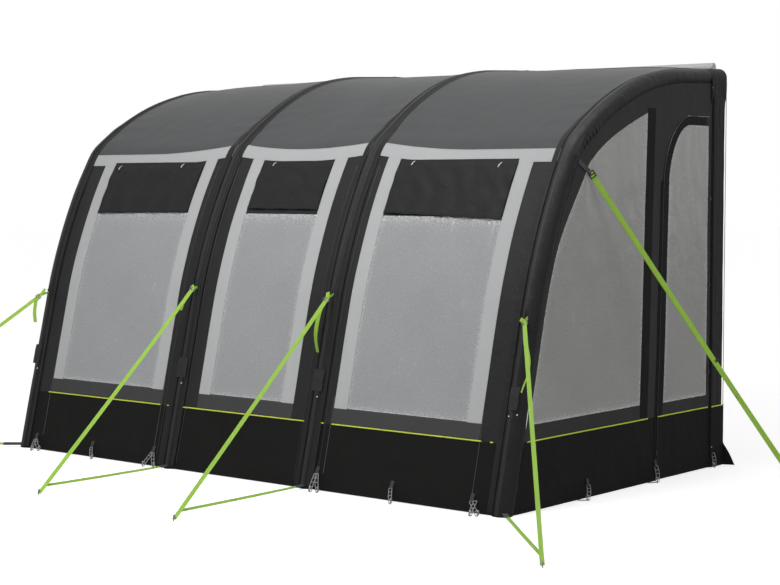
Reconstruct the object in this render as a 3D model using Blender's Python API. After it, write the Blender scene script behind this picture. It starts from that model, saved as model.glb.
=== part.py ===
"""Caravan porch awning on four air beams, with three front bays and two side walls.

Metres, +Z up. The origin is on the ground, at the middle of the footprint. The front faces -Y and
the open back, with its rail bead and rear pads, stands against the caravan at +Y.
"""

import math

import bmesh
import bpy
from mathutils import Matrix, Vector

# Overall size, over the beam sleeves
WIDTH = 3.90
DEPTH = 2.25

# Fit between neighbouring pieces
GAP = 0.0003
OVERRUN = 0.01

# Air beams: a straight leg, a slow bend up the front, a tight one at the eaves and the roof's arch
BEAM_RADIUS = 0.055
SLEEVE_WALL = 0.0015
TUBE_CLEARANCE = 0.0006
TUBE_WALL = 0.0012
BEAM_SIDES = 12
INNER_BEAM_X = 0.55
LEG_LEAN = math.radians(76.5)
LEG_RUN = 1.0
FRONT_RADIUS = 3.1
FRONT_END_SLOPE = math.radians(58.7)
EAVES_RADIUS = 0.23
EAVES_END_SLOPE = math.radians(37.7)
ROOF_RADIUS = 1.9
RAIL_SLOPE = math.radians(2.5)
BEAM_END_INSET = 0.03
TUBE_END_INSET = 0.022
FRONT_STEPS = 5
EAVES_STEPS = 2
ROOF_STEPS = 8

# The inner beams arch a little higher than the outer ones
INNER_LIFT = 0.045
LIFT_END_RUN = 2.9

# Fabric
CLOTH = 0.002
FILM = 0.001
MESH_CLOTH = 0.001
ROOF_SAG = 0.02
ROOF_COLUMNS = 6
HEM_HEIGHT = 0.004

# Front bays, as lengths along the beam from the ground
HEADER_TOP_RUN = 1.99
HEADER_WIDTH = 0.07
VENT_MARGIN = 0.035
VENT_HEIGHT = 0.285
WINDOW_BOTTOM_RUN = 0.46
MIDDLE_WINDOW_X = 0.287
OUTER_WINDOW_NEAR_X = 0.787
OUTER_WINDOW_FAR_X = 1.621

# Vent flaps
FLAP_CLOTH = 0.0015
FLAP_GAP = 0.0005
FLAP_ABOVE_VENT = 0.027
FLAP_BELOW_VENT = 0.032
FLAP_MARGIN = 0.004
FLAP_FOLD = 0.009
FLAP_FOLDS_PER_BAY = {"left": 4, "middle": 3, "right": 5}
FLAP_COLUMNS_PER_FOLD = 4
FLAP_ROWS = 4

# Side walls and doors, the doors set out forwards from the rear pads
SIDE_WINDOW_BOTTOM = 0.455
WINDOW_INSET_LOW = 0.058
WINDOW_INSET_HIGH = 0.122
WINDOW_INSET_RUN = 1.35
DOOR_WIDTH = 0.60
ZIP_PANEL_WIDTH = 0.185
DOOR_TO_BEAM = 0.23
DOOR_HEM = 0.006
DOOR_ARCH_DEEP = 0.31
DOOR_ARCH_HIGH = 0.38
DOOR_ARCH_STEPS = 6
DOOR_ZIP_MARGIN = 0.07
DOOR_HINGE_MARGIN = 0.035
DOOR_WINDOW_DROP = 0.055
DOOR_WINDOW_BOTTOM = 0.445

# Rear pads and rail bead
PAD_DEPTH = 0.16
PAD_THICKNESS = 0.03
PAD_ROUND = 0.004
BEAD_DIAMETER = 0.007
BEAD_STEPS = 6

# Valves and their covers
VALVE_RUN = 0.60
VALVE_OUTER_RADIUS = 0.014
VALVE_BORE_RADIUS = 0.008
VALVE_SIDES = 12
VALVE_PORT_SIZE = 0.036
COVER_TOP_RUN = 0.665
COVER_BOTTOM_RUN = 0.54
COVER_CLOTH = 0.0012
COVER_GAP = 0.0003
COVER_WIDTH = 0.05

# Zip sliders
SLIDER_WIDTH = 0.009
SLIDER_LENGTH = 0.022
SLIDER_THICKNESS = 0.006
SLIDER_HEIGHT = 0.16
SLIDER_ROUND = 0.0015

# Guy straps: each runs from its beam to a peg, with a return strap from near the peg to the foot
GUY_WIDTH = 0.025
STORM_WIDTH = 0.030
STRAP_THICKNESS = 0.0015
OUTER_GUY_RUN = 1.035
INNER_GUY_RUN = 1.115
GUY_SEWN_RUN = 0.10
RETURN_HEIGHT = 0.02
STRAP_END_HEIGHT = 0.010
OUTER_PEG_X = 2.76
OUTER_PEG_Y = -1.96
LEFT_INNER_PEG_X = -0.42
LEFT_INNER_PEG_Y = -2.20
RIGHT_INNER_PEG_X = 0.70
RIGHT_INNER_PEG_Y = -2.25
STORM_RUN = 1.94
STORM_INSET = 0.16
STORM_TAB_CLOTH = 0.002
STORM_PEG_X = 2.70
STORM_PEG_Y = 0.65

# Strap buckles, placed along their strap from its beam
BUCKLE_LENGTH = 0.024
BUCKLE_RIM = 0.005
BUCKLE_THICKNESS = 0.007
BUCKLE_SLACK = 0.0006
BUCKLE_1_RUN = 0.09
BUCKLE_2_RUN = 0.05
BUCKLE_3_RUN = 0.08
BUCKLE_4_RUN = 0.06
STORM_BUCKLE_RUN = 0.045
STORM_ADJUSTER_RUN = 1.28

# Pegs, above the ground only
PEG_RADIUS = 0.0035
PEG_HEIGHT = 0.046
PEG_HOOK_REACH = 0.014
PEG_HOOK_DROP = 0.004
PEG_STEPS = 6

# Colours and surfaces
BLACK_FABRIC = (0.035, 0.036, 0.038, 1.0)
ROOF_FABRIC = (0.092, 0.097, 0.104, 1.0)
BAND_FABRIC = (0.46, 0.48, 0.50, 1.0)
CLEAR_FILM = (0.30, 0.31, 0.32, 1.0)
SIDE_FILM = (0.20, 0.20, 0.195, 1.0)
VENT_MESH = (0.02, 0.02, 0.021, 1.0)
PAD_FABRIC = (0.030, 0.031, 0.033, 1.0)
BLADDER_FILM = (0.55, 0.56, 0.55, 1.0)
BEAD_CORE = (0.16, 0.17, 0.18, 1.0)
LIME_WEBBING = (0.33, 0.62, 0.06, 1.0)
BLACK_PLASTIC = (0.012, 0.012, 0.013, 1.0)
PEG_STEEL = (0.52, 0.53, 0.55, 1.0)
FABRIC_ROUGHNESS = 0.8
FILM_ROUGHNESS = 0.25
PLASTIC_ROUGHNESS = 0.4
STEEL_ROUGHNESS = 0.3


# Worked-out places
FRONT_Y = -DEPTH / 2
REAR_Y = DEPTH / 2
OUTER_BEAM_X = WIDTH / 2 - BEAM_RADIUS
FOOT_Y = FRONT_Y + BEAM_RADIUS / math.sin(LEG_LEAN)
FACET = 2 * math.pi / BEAM_SIDES
PANEL_OFFSET = BEAM_RADIUS * math.cos(FACET)
PANEL_EDGE = BEAM_RADIUS * math.sin(FACET) + CLOTH / 2 + 1.5 * GAP
SIDE_X = OUTER_BEAM_X + PANEL_OFFSET
PAD_FRONT_Y = REAR_Y - PAD_DEPTH
DOOR_LEFT = DEPTH - PAD_DEPTH - DOOR_WIDTH
SIDE_WINDOW_REAR = DOOR_LEFT - ZIP_PANEL_WIDTH
PANEL_TOP_RUN = HEADER_TOP_RUN - HEADER_WIDTH
VENT_TOP_RUN = PANEL_TOP_RUN - VENT_MARGIN
VENT_BOTTOM_RUN = VENT_TOP_RUN - VENT_HEIGHT
WINDOW_TOP_RUN = VENT_BOTTOM_RUN - VENT_MARGIN
FLAP_TOP_RUN = VENT_TOP_RUN + FLAP_ABOVE_VENT
FLAP_BOTTOM_RUN = VENT_BOTTOM_RUN - FLAP_BELOW_VENT
BEAMS = {
    "1": (-OUTER_BEAM_X, 0.0),
    "2": (-INNER_BEAM_X, 1.0),
    "3": (INNER_BEAM_X, 1.0),
    "4": (OUTER_BEAM_X, 0.0),
}
BAYS = {
    "left": (-OUTER_BEAM_X + PANEL_EDGE, -INNER_BEAM_X - PANEL_EDGE),
    "middle": (-INNER_BEAM_X + PANEL_EDGE, INNER_BEAM_X - PANEL_EDGE),
    "right": (INNER_BEAM_X + PANEL_EDGE, OUTER_BEAM_X - PANEL_EDGE),
}
WINDOW_COLUMNS = {
    "left": (-OUTER_WINDOW_FAR_X, -OUTER_WINDOW_NEAR_X),
    "middle": (-MIDDLE_WINDOW_X, MIDDLE_WINDOW_X),
    "right": (OUTER_WINDOW_NEAR_X, OUTER_WINDOW_FAR_X),
}
SIDES = {"left": -1.0, "right": 1.0}
GUYS = {
    "1": (OUTER_GUY_RUN, -OUTER_PEG_X, OUTER_PEG_Y, BUCKLE_1_RUN),
    "2": (INNER_GUY_RUN, LEFT_INNER_PEG_X, LEFT_INNER_PEG_Y, BUCKLE_2_RUN),
    "3": (INNER_GUY_RUN, RIGHT_INNER_PEG_X, RIGHT_INNER_PEG_Y, BUCKLE_3_RUN),
    "4": (OUTER_GUY_RUN, OUTER_PEG_X, OUTER_PEG_Y, BUCKLE_4_RUN),
}


# The beam's side profile

BENDS = (
    (FRONT_RADIUS, FRONT_END_SLOPE, FRONT_STEPS),
    (EAVES_RADIUS, EAVES_END_SLOPE, EAVES_STEPS),
    (ROOF_RADIUS, RAIL_SLOPE, ROOF_STEPS),
)


def profile(run):
    """The beam centreline's Y, Z and slope at a length along it from the ground."""
    along = min(run, LEG_RUN)
    y = FOOT_Y + along * math.cos(LEG_LEAN)
    z = along * math.sin(LEG_LEAN)
    slope = LEG_LEAN
    left = max(run - LEG_RUN, 0.0)
    for radius, end_slope, _ in BENDS:
        length = min(left, radius * (slope - end_slope))
        turned = slope - length / radius
        y += radius * (math.sin(slope) - math.sin(turned))
        z += radius * (math.cos(turned) - math.cos(slope))
        slope = turned
        left -= length
    return y + left * math.cos(slope), z + left * math.sin(slope), slope


def bend_runs():
    """The lengths along the beam at which its bends are divided."""
    runs = [LEG_RUN]
    slope = LEG_LEAN
    for radius, end_slope, steps in BENDS:
        length = radius * (slope - end_slope)
        runs += [runs[-1] + length / steps * (step + 1) for step in range(steps)]
        slope = end_slope
    return runs


BEND_RUNS = bend_runs()


def run_at(y, offset=0.0):
    """The length along the beam's last, straight stretch where a line offset outwards meets Y."""
    start_y, _, slope = profile(BEND_RUNS[-1])
    return BEND_RUNS[-1] + (y - start_y + offset * math.sin(slope)) / math.cos(slope)


BEAM_END_RUN = run_at(REAR_Y - BEAM_END_INSET)
ROOF_END_RUN = run_at(REAR_Y - BEAD_DIAMETER - GAP, PANEL_OFFSET)
BEAM_AT_PADS_Z = profile(run_at(PAD_FRONT_Y))[1]
DOOR_TOP = BEAM_AT_PADS_Z - DOOR_TO_BEAM
DOOR_WINDOW_TOP = DOOR_TOP - DOOR_WINDOW_DROP
HEM_RUN = (HEM_HEIGHT - PANEL_OFFSET * math.cos(LEG_LEAN)) / math.sin(LEG_LEAN)


def lift(run, share):
    """How far a beam or panel stands above the outer beams' profile."""
    along = (run - HEADER_TOP_RUN) / (LIFT_END_RUN - HEADER_TOP_RUN)
    along = min(max(along, 0.0), 1.0)
    return INNER_LIFT * share * along * along * (3 - 2 * along)


def at_offset(x, run, offset, share=0.0):
    """The point at X, a length along the profile and a distance outside the centreline."""
    y, z, slope = profile(run)
    z += lift(run, share)
    return Vector((x, y - offset * math.sin(slope), z + offset * math.cos(slope)))


def rows_between(low, high, extra=()):
    """The profile's divisions from one length along it to another, with any extra ones."""
    inner = [run for run in (*BEND_RUNS, *extra) if low < run < high]
    return sorted({low, high, *inner})


# Objects and materials


def clear_scene():
    for obj in list(bpy.data.objects):
        bpy.data.objects.remove(obj)


def surface(name, colour, roughness, metallic=0.0):
    material = bpy.data.materials.new(name)
    material.use_nodes = True
    shader = material.node_tree.nodes["Principled BSDF"]
    shader.inputs["Base Color"].default_value = colour
    shader.inputs["Roughness"].default_value = roughness
    shader.inputs["Metallic"].default_value = metallic
    material.diffuse_color = colour
    return material


def add_object(name, bm, colour, roughness, origin=None, metallic=0.0, smooth=False):
    """The object made of bm, with its origin moved to the given point of the world."""
    origin = Vector(origin) if origin is not None else Vector()
    bmesh.ops.translate(bm, verts=bm.verts, vec=-origin)
    bmesh.ops.recalc_face_normals(bm, faces=bm.faces)
    mesh = bpy.data.meshes.new(name)
    bm.to_mesh(mesh)
    bm.free()
    if smooth:
        mesh.shade_smooth()
        mesh.set_sharp_from_angle(angle=FACET * 1.5)
    obj = bpy.data.objects.new(name, mesh)
    obj.location = origin
    obj.data.materials.append(surface(name, colour, roughness, metallic))
    bpy.context.scene.collection.objects.link(obj)
    return obj


def thicken(obj, thickness):
    solid = obj.modifiers.new("Cloth thickness", "SOLIDIFY")
    solid.thickness = thickness
    solid.offset = 0.0
    solid.use_even_offset = True


def soften(obj, width):
    bevel = obj.modifiers.new("Rounded edges", "BEVEL")
    bevel.width = width
    bevel.segments = 2


def cut(obj, cutter, operation="DIFFERENCE"):
    cutter.hide_render = True
    cutter.display_type = "WIRE"
    boolean = obj.modifiers.new(operation.title(), "BOOLEAN")
    boolean.operation = operation
    boolean.object = cutter
    boolean.solver = "EXACT"


def grid_sheet(columns, rows, place, holes=()):
    """A sheet of four-sided cells between columns of X and rows along the profile."""
    bm = bmesh.new()
    points = [[bm.verts.new(place(x, run)) for x in columns] for run in rows]
    for j in range(len(rows) - 1):
        for i in range(len(columns) - 1):
            x = (columns[i] + columns[i + 1]) / 2
            run = (rows[j] + rows[j + 1]) / 2
            if any(x0 < x < x1 and low < run < high for x0, x1, low, high in holes):
                continue
            below, above = points[j], points[j + 1]
            bm.faces.new((below[i], below[i + 1], above[i + 1], above[i]))
    return bm


def box(size, centre):
    bm = bmesh.new()
    bmesh.ops.create_cube(bm, size=1.0)
    bmesh.ops.scale(bm, vec=Vector(size), verts=bm.verts)
    bmesh.ops.translate(bm, vec=Vector(centre), verts=bm.verts)
    return bm


def flat_outline(outlines, x):
    """A flat sheet in the plane of X, inside the first outline of Y and Z and outside the others."""
    bm = bmesh.new()
    for outline in outlines:
        corners = [bm.verts.new((x, y, z)) for y, z in outline]
        for first, second in zip(corners, corners[1:] + corners[:1]):
            bm.edges.new((first, second))
    bmesh.ops.triangle_fill(bm, use_beauty=True, use_dissolve=False, edges=bm.edges)
    return bm


# Beams


def ring_points(beam, run, radius):
    """A ring of the tube, square to it, or flat on the ground at its foot."""
    x, share = BEAMS[beam]
    y, z, slope = profile(run)
    along = Vector((0.0, math.cos(slope), math.sin(slope)))
    out = Vector((0.0, -math.sin(slope), math.cos(slope)))
    centre = Vector((x, y, z + lift(run, share)))
    points = []
    for side in range(BEAM_SIDES):
        angle = FACET * side
        point = centre + radius * (math.cos(angle) * out + math.sin(angle) * Vector((1.0, 0.0, 0.0)))
        if run == 0:
            point -= along * (point.z / along.z)
        points.append(point)
    return points


def add_tube(bm, beam, runs, radius):
    """The tube's skin, as its rings of vertices."""
    rings = [[bm.verts.new(point) for point in ring_points(beam, run, radius)] for run in runs]
    for lower, upper in zip(rings, rings[1:]):
        for i in range(BEAM_SIDES):
            j = (i + 1) % BEAM_SIDES
            bm.faces.new((lower[i], lower[j], upper[j], upper[i]))
    return rings


def valve_cylinder(name, beam, radius, inner, outer):
    """A cylinder square to the leg at the valve, between two distances from the beam's centreline."""
    x, _ = BEAMS[beam]
    _, _, slope = profile(VALVE_RUN)
    bm = bmesh.new()
    turn = Matrix.Rotation(slope, 4, "X")
    bmesh.ops.create_cone(
        bm,
        cap_ends=True,
        segments=VALVE_SIDES,
        radius1=radius,
        radius2=radius,
        depth=outer - inner,
        matrix=Matrix.Translation(at_offset(x, VALVE_RUN, (inner + outer) / 2)) @ turn,
    )
    return add_object(name, bm, BLADDER_FILM, PLASTIC_ROUGHNESS)


def make_beam_sleeve(beam):
    runs = [0.0, *BEND_RUNS, BEAM_END_RUN]
    bm = bmesh.new()
    outer = add_tube(bm, beam, runs, BEAM_RADIUS)
    inner = add_tube(bm, beam, runs, BEAM_RADIUS - SLEEVE_WALL)
    for end in (0, -1):
        for i in range(BEAM_SIDES):
            j = (i + 1) % BEAM_SIDES
            bm.faces.new((outer[end][i], outer[end][j], inner[end][j], inner[end][i]))
    sleeve = add_object(f"beam_sleeve_{beam}", bm, BLACK_FABRIC, FABRIC_ROUGHNESS, smooth=True)
    x, _ = BEAMS[beam]
    port = box(
        (VALVE_PORT_SIZE, VALVE_PORT_SIZE, BEAM_RADIUS),
        (0.0, 0.0, BEAM_RADIUS),
    )
    _, _, slope = profile(VALVE_RUN)
    turn = Matrix.Translation(at_offset(x, VALVE_RUN, 0.0)) @ Matrix.Rotation(slope, 4, "X")
    bmesh.ops.transform(port, matrix=turn, verts=port.verts)
    cut(sleeve, add_object(f"valve_port_cutter_{beam}", port, BLACK_FABRIC, FABRIC_ROUGHNESS))


def make_air_tube(beam):
    start = TUBE_END_INSET
    end = BEAM_END_RUN - TUBE_END_INSET
    radius = BEAM_RADIUS - SLEEVE_WALL - TUBE_CLEARANCE
    bm = bmesh.new()
    outer = add_tube(bm, beam, rows_between(start, end), radius)
    inner_runs = rows_between(start + TUBE_WALL, end - TUBE_WALL)
    inner = add_tube(bm, beam, inner_runs, radius - TUBE_WALL)
    for rings in (outer, inner):
        bm.faces.new(rings[0])
        bm.faces.new(rings[-1])
    tube = add_object(f"air_tube_{beam}", bm, BLADDER_FILM, PLASTIC_ROUGHNESS, smooth=True)
    inner_face = radius - TUBE_WALL
    boss = valve_cylinder(
        f"valve_boss_{beam}", beam, VALVE_OUTER_RADIUS, inner_face - TUBE_WALL, BEAM_RADIUS - GAP
    )
    bore = valve_cylinder(
        f"valve_bore_{beam}",
        beam,
        VALVE_BORE_RADIUS,
        inner_face - OVERRUN,
        BEAM_RADIUS + OVERRUN,
    )
    cut(tube, boss, "UNION")
    cut(tube, bore)


def make_valve_cover(beam):
    """A flap lying over the valve on the sleeve's front ridge, that lifts about its top."""
    x, _ = BEAMS[beam]
    radius = BEAM_RADIUS + COVER_GAP + COVER_CLOTH / 2
    columns = (x - COVER_WIDTH / 2, x + COVER_WIDTH / 2)
    rows = (COVER_BOTTOM_RUN, COVER_TOP_RUN)
    bm = grid_sheet(columns, rows, lambda across, run: at_offset(across, run, radius))
    cover = add_object(
        f"valve_cover_{beam}",
        bm,
        BLACK_FABRIC,
        FABRIC_ROUGHNESS,
        origin=at_offset(x, COVER_TOP_RUN, radius),
    )
    thicken(cover, COVER_CLOTH)


# Roof, header bands and front bays


def bay_share(bay, x):
    """How much of the inner beams' lift a bay's panel has at X."""
    low, high = BAYS[bay]
    if bay == "middle":
        return 1.0
    outer, inner = (low, high) if bay == "left" else (high, low)
    across = (x - inner) / (outer - inner)
    return 1 - across**4


def roof_place(bay):
    low, high = BAYS[bay]

    def place(x, run):
        across = (x - low) / (high - low)
        back = (run - HEADER_TOP_RUN) / (ROOF_END_RUN - HEADER_TOP_RUN)
        sag = ROOF_SAG * 4 * across * (1 - across) * math.sin(math.pi * min(max(back, 0.0), 1.0))
        return at_offset(x, run, PANEL_OFFSET - sag, bay_share(bay, x))

    return place


def even_columns(low, high, count):
    return [low + (high - low) * i / count for i in range(count + 1)]


def make_roof_panel(bay):
    low, high = BAYS[bay]
    rows = rows_between(HEADER_TOP_RUN + GAP, ROOF_END_RUN)
    bm = grid_sheet(even_columns(low, high, ROOF_COLUMNS), rows, roof_place(bay))
    panel = add_object(f"roof_panel_{bay}", bm, ROOF_FABRIC, FABRIC_ROUGHNESS, smooth=True)
    thicken(panel, CLOTH)


def make_header_band(bay):
    low, high = BAYS[bay]
    rows = rows_between(PANEL_TOP_RUN + GAP, HEADER_TOP_RUN)
    bm = grid_sheet((low, high), rows, lambda x, run: at_offset(x, run, PANEL_OFFSET))
    band = add_object(f"header_band_{bay}", bm, BAND_FABRIC, FABRIC_ROUGHNESS)
    thicken(band, CLOTH)


def make_front_panel(bay):
    """The bay's wall, with cut-outs for its window and vent, swung about its edge at the outer leg."""
    low, high = BAYS[bay]
    left, right = WINDOW_COLUMNS[bay]
    rows = rows_between(
        HEM_RUN,
        PANEL_TOP_RUN,
        (WINDOW_BOTTOM_RUN, WINDOW_TOP_RUN, VENT_BOTTOM_RUN, VENT_TOP_RUN),
    )
    holes = (
        (left, right, WINDOW_BOTTOM_RUN, WINDOW_TOP_RUN),
        (left, right, VENT_BOTTOM_RUN, VENT_TOP_RUN),
    )
    bm = grid_sheet(
        (low, left, right, high), rows, lambda x, run: at_offset(x, run, PANEL_OFFSET), holes
    )
    hinge_x = low if bay == "left" else high
    origin = at_offset(hinge_x, 0.0, PANEL_OFFSET + CLOTH / 2)
    panel = add_object(f"front_panel_{bay}", bm, BLACK_FABRIC, FABRIC_ROUGHNESS, origin=origin)
    thicken(panel, CLOTH)


def make_infill(name, bay, low_run, high_run, thickness, colour, roughness):
    """A film or mesh sheet set into one of the front panel's cut-outs."""
    left, right = WINDOW_COLUMNS[bay]
    rows = rows_between(low_run + GAP, high_run - GAP)
    bm = grid_sheet(
        (left + GAP, right - GAP), rows, lambda x, run: at_offset(x, run, PANEL_OFFSET)
    )
    sheet = add_object(f"{name}_{bay}", bm, colour, roughness)
    thicken(sheet, thickness)


def make_vent_flap(bay):
    """The flap over the vent, sewn along its top, with its lower edge standing off in soft folds."""
    left, right = WINDOW_COLUMNS[bay]
    low, high = left + FLAP_MARGIN, right - FLAP_MARGIN
    folds = FLAP_FOLDS_PER_BAY[bay]
    lying = PANEL_OFFSET + CLOTH / 2 + FLAP_GAP + FLAP_CLOTH / 2

    def place(x, run):
        across = (x - low) / (high - low)
        down = (FLAP_TOP_RUN - run) / (FLAP_TOP_RUN - FLAP_BOTTOM_RUN)
        wave = (1 - math.cos(2 * math.pi * folds * across)) / 2
        return at_offset(x, run, lying + FLAP_FOLD * wave * down**2)

    length = FLAP_TOP_RUN - FLAP_BOTTOM_RUN
    extra = [FLAP_BOTTOM_RUN + length * i / FLAP_ROWS for i in range(1, FLAP_ROWS)]
    rows = rows_between(FLAP_BOTTOM_RUN, FLAP_TOP_RUN, extra)
    columns = even_columns(low, high, folds * FLAP_COLUMNS_PER_FOLD)
    bm = grid_sheet(columns, rows, place)
    origin = at_offset((low + high) / 2, FLAP_TOP_RUN, lying)
    flap = add_object(
        f"vent_flap_{bay}", bm, BLACK_FABRIC, FABRIC_ROUGHNESS, origin=origin, smooth=True
    )
    thicken(flap, FLAP_CLOTH)


# Side walls, doors and rear pads


def from_front(distance):
    return FRONT_Y + distance


def inner_edge(run, inset):
    y, z, slope = profile(run)
    return y + inset * math.sin(slope), z - inset * math.cos(slope)


def door_outline(clearance, left, top, bottom, rear):
    """Up the zip side, round the arch and down the hinge side, as points of Y and Z."""
    deep = DOOR_ARCH_DEEP - (left - DOOR_LEFT) + clearance
    high = DOOR_ARCH_HIGH - (DOOR_TOP - top) + clearance
    zip_y = from_front(left) - clearance
    spring = top - high + clearance
    points = [(rear, bottom), (zip_y, bottom)]
    for step in range(DOOR_ARCH_STEPS + 1):
        angle = math.pi / 2 * step / DOOR_ARCH_STEPS
        points.append(
            (zip_y + deep * (1 - math.cos(angle)), spring + high * math.sin(angle))
        )
    points.append((rear, top + clearance))
    return points


def side_wall_outline():
    edge = PANEL_EDGE
    rear = PAD_FRONT_Y - GAP
    foot = (FOOT_Y + edge / math.sin(LEG_LEAN), 0.0)
    top_run = run_at(rear, -edge)
    front = [foot] + [inner_edge(run, edge) for run in BEND_RUNS if run < top_run]
    front.append(inner_edge(top_run, edge))
    notch = door_outline(GAP, DOOR_LEFT, DOOR_TOP, 0.0, rear)[:0:-1]
    return front + notch


def side_window_outline(clearance):
    """Along the beam with a growing inset, then straight down at the zip strip and along the bottom."""
    rear = from_front(SIDE_WINDOW_REAR) - clearance
    bottom = SIDE_WINDOW_BOTTOM + clearance

    def inset(run):
        grown = min(max((run - WINDOW_INSET_RUN) / (HEADER_TOP_RUN - WINDOW_INSET_RUN), 0.0), 1.0)
        ease = grown * grown * (3 - 2 * grown)
        return WINDOW_INSET_LOW + (WINDOW_INSET_HIGH - WINDOW_INSET_LOW) * ease + clearance

    low_run = (bottom + WINDOW_INSET_LOW * math.cos(LEG_LEAN)) / math.sin(LEG_LEAN)
    points = []
    for run in rows_between(low_run, BEAM_END_RUN):
        y, z = inner_edge(run, inset(run))
        if y >= rear:
            last_y, last_z = points[-1]
            points.append((rear, last_z + (z - last_z) * (rear - last_y) / (y - last_y)))
            break
        points.append((y, max(z, bottom)))
    return points + [(rear, bottom)]


def make_side(side):
    """The wall with its window, the door with its window, the rear pad and the door's zip slider."""
    sign = SIDES[side]
    x = sign * SIDE_X
    hinge_y = PAD_FRONT_Y - GAP
    hinge = (x + sign * CLOTH / 2, hinge_y, 0.0)

    wall = add_object(
        f"side_wall_{side}",
        flat_outline((side_wall_outline(), side_window_outline(0.0)), x),
        BLACK_FABRIC,
        FABRIC_ROUGHNESS,
    )
    thicken(wall, CLOTH)
    window = add_object(
        f"side_window_{side}", flat_outline((side_window_outline(GAP),), x), SIDE_FILM, FILM_ROUGHNESS
    )
    thicken(window, FILM)

    glazing = door_outline(
        0.0,
        DOOR_LEFT + DOOR_ZIP_MARGIN,
        DOOR_WINDOW_TOP,
        DOOR_WINDOW_BOTTOM,
        hinge_y - DOOR_HINGE_MARGIN,
    )
    pane = door_outline(
        -GAP,
        DOOR_LEFT + DOOR_ZIP_MARGIN,
        DOOR_WINDOW_TOP,
        DOOR_WINDOW_BOTTOM + GAP,
        hinge_y - DOOR_HINGE_MARGIN - GAP,
    )
    leaf = door_outline(0.0, DOOR_LEFT, DOOR_TOP, DOOR_HEM, hinge_y)
    door = add_object(
        f"door_{side}", flat_outline((leaf, glazing), x), BLACK_FABRIC, FABRIC_ROUGHNESS, origin=hinge
    )
    thicken(door, CLOTH)
    door_window = add_object(
        f"door_window_{side}", flat_outline((pane,), x), SIDE_FILM, FILM_ROUGHNESS, origin=hinge
    )
    thicken(door_window, FILM)

    pad_top = BEAM_AT_PADS_Z - BEAM_RADIUS - GAP
    pad = add_object(
        f"rear_pad_{side}",
        box(
            (PAD_THICKNESS, PAD_DEPTH, pad_top),
            (sign * (WIDTH - PAD_THICKNESS) / 2, REAR_Y - PAD_DEPTH / 2, pad_top / 2),
        ),
        PAD_FABRIC,
        FABRIC_ROUGHNESS,
    )
    soften(pad, PAD_ROUND)

    slider = add_object(
        f"door_zip_slider_{side}",
        box(
            (SLIDER_THICKNESS, SLIDER_WIDTH, SLIDER_LENGTH),
            (
                x + sign * (CLOTH / 2 + GAP + SLIDER_THICKNESS / 2),
                from_front(DOOR_LEFT) - 2 * GAP - SLIDER_WIDTH / 2,
                SLIDER_HEIGHT,
            ),
        ),
        BLACK_PLASTIC,
        PLASTIC_ROUGHNESS,
    )
    soften(slider, SLIDER_ROUND)


def make_rail_bead():
    """The bead that slides in the caravan's rail, along the roof's back edge."""
    places = []
    for bay in BAYS:
        place = roof_place(bay)
        low, high = BAYS[bay]
        places += [place(x, ROOF_END_RUN) for x in even_columns(low, high, BEAD_STEPS)]
    curve = bpy.data.curves.new("rail_bead", "CURVE")
    curve.dimensions = "3D"
    curve.bevel_depth = BEAD_DIAMETER / 2
    curve.bevel_resolution = 1
    curve.use_fill_caps = True
    spline = curve.splines.new("POLY")
    spline.points.add(len(places) - 1)
    for point, place in zip(spline.points, places):
        point.co = (place.x, REAR_Y - BEAD_DIAMETER / 2, place.z, 1.0)
    bead = bpy.data.objects.new("rail_bead", curve)
    curve.materials.append(surface("rail_bead", BEAD_CORE, PLASTIC_ROUGHNESS))
    bpy.context.scene.collection.objects.link(bead)


# Guy straps, buckles and pegs


def strap_frame(start, end):
    """Axes along the strap, across it level with the ground, and through its thickness."""
    along = (end - start).normalized()
    across = along.cross(Vector((0.0, 0.0, 1.0))).normalized()
    return Matrix((along, across, across.cross(along).normalized())).transposed()


def ribbon(start, end, width, thickness):
    bm = box(((end - start).length, width, thickness), (0.0, 0.0, 0.0))
    place = Matrix.Translation((start + end) / 2) @ strap_frame(start, end).to_4x4()
    bmesh.ops.transform(bm, matrix=place, verts=bm.verts)
    return bm


def make_peg(name, place, towards):
    """A hooked peg's head: up out of the ground, over and down towards its strap."""
    base = Vector((*place, 0.0))
    level = (Vector((towards.x, towards.y, 0.0)) - base).normalized()
    bend = PEG_HOOK_REACH / 2
    points = [base, base + Vector((0.0, 0.0, PEG_HEIGHT - bend))]
    for step in range(1, PEG_STEPS + 1):
        angle = math.pi * step / PEG_STEPS
        points.append(
            base
            + level * bend * (1 - math.cos(angle))
            + Vector((0.0, 0.0, PEG_HEIGHT - bend + bend * math.sin(angle)))
        )
    points.append(points[-1] - Vector((0.0, 0.0, PEG_HOOK_DROP)))
    curve = bpy.data.curves.new(name, "CURVE")
    curve.dimensions = "3D"
    curve.bevel_depth = PEG_RADIUS
    curve.bevel_resolution = 2
    curve.use_fill_caps = True
    spline = curve.splines.new("POLY")
    spline.points.add(len(points) - 1)
    for point, co in zip(spline.points, points):
        point.co = (*co, 1.0)
    peg = bpy.data.objects.new(name, curve)
    curve.materials.append(surface(name, PEG_STEEL, STEEL_ROUGHNESS, 1.0))
    bpy.context.scene.collection.objects.link(peg)


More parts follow.
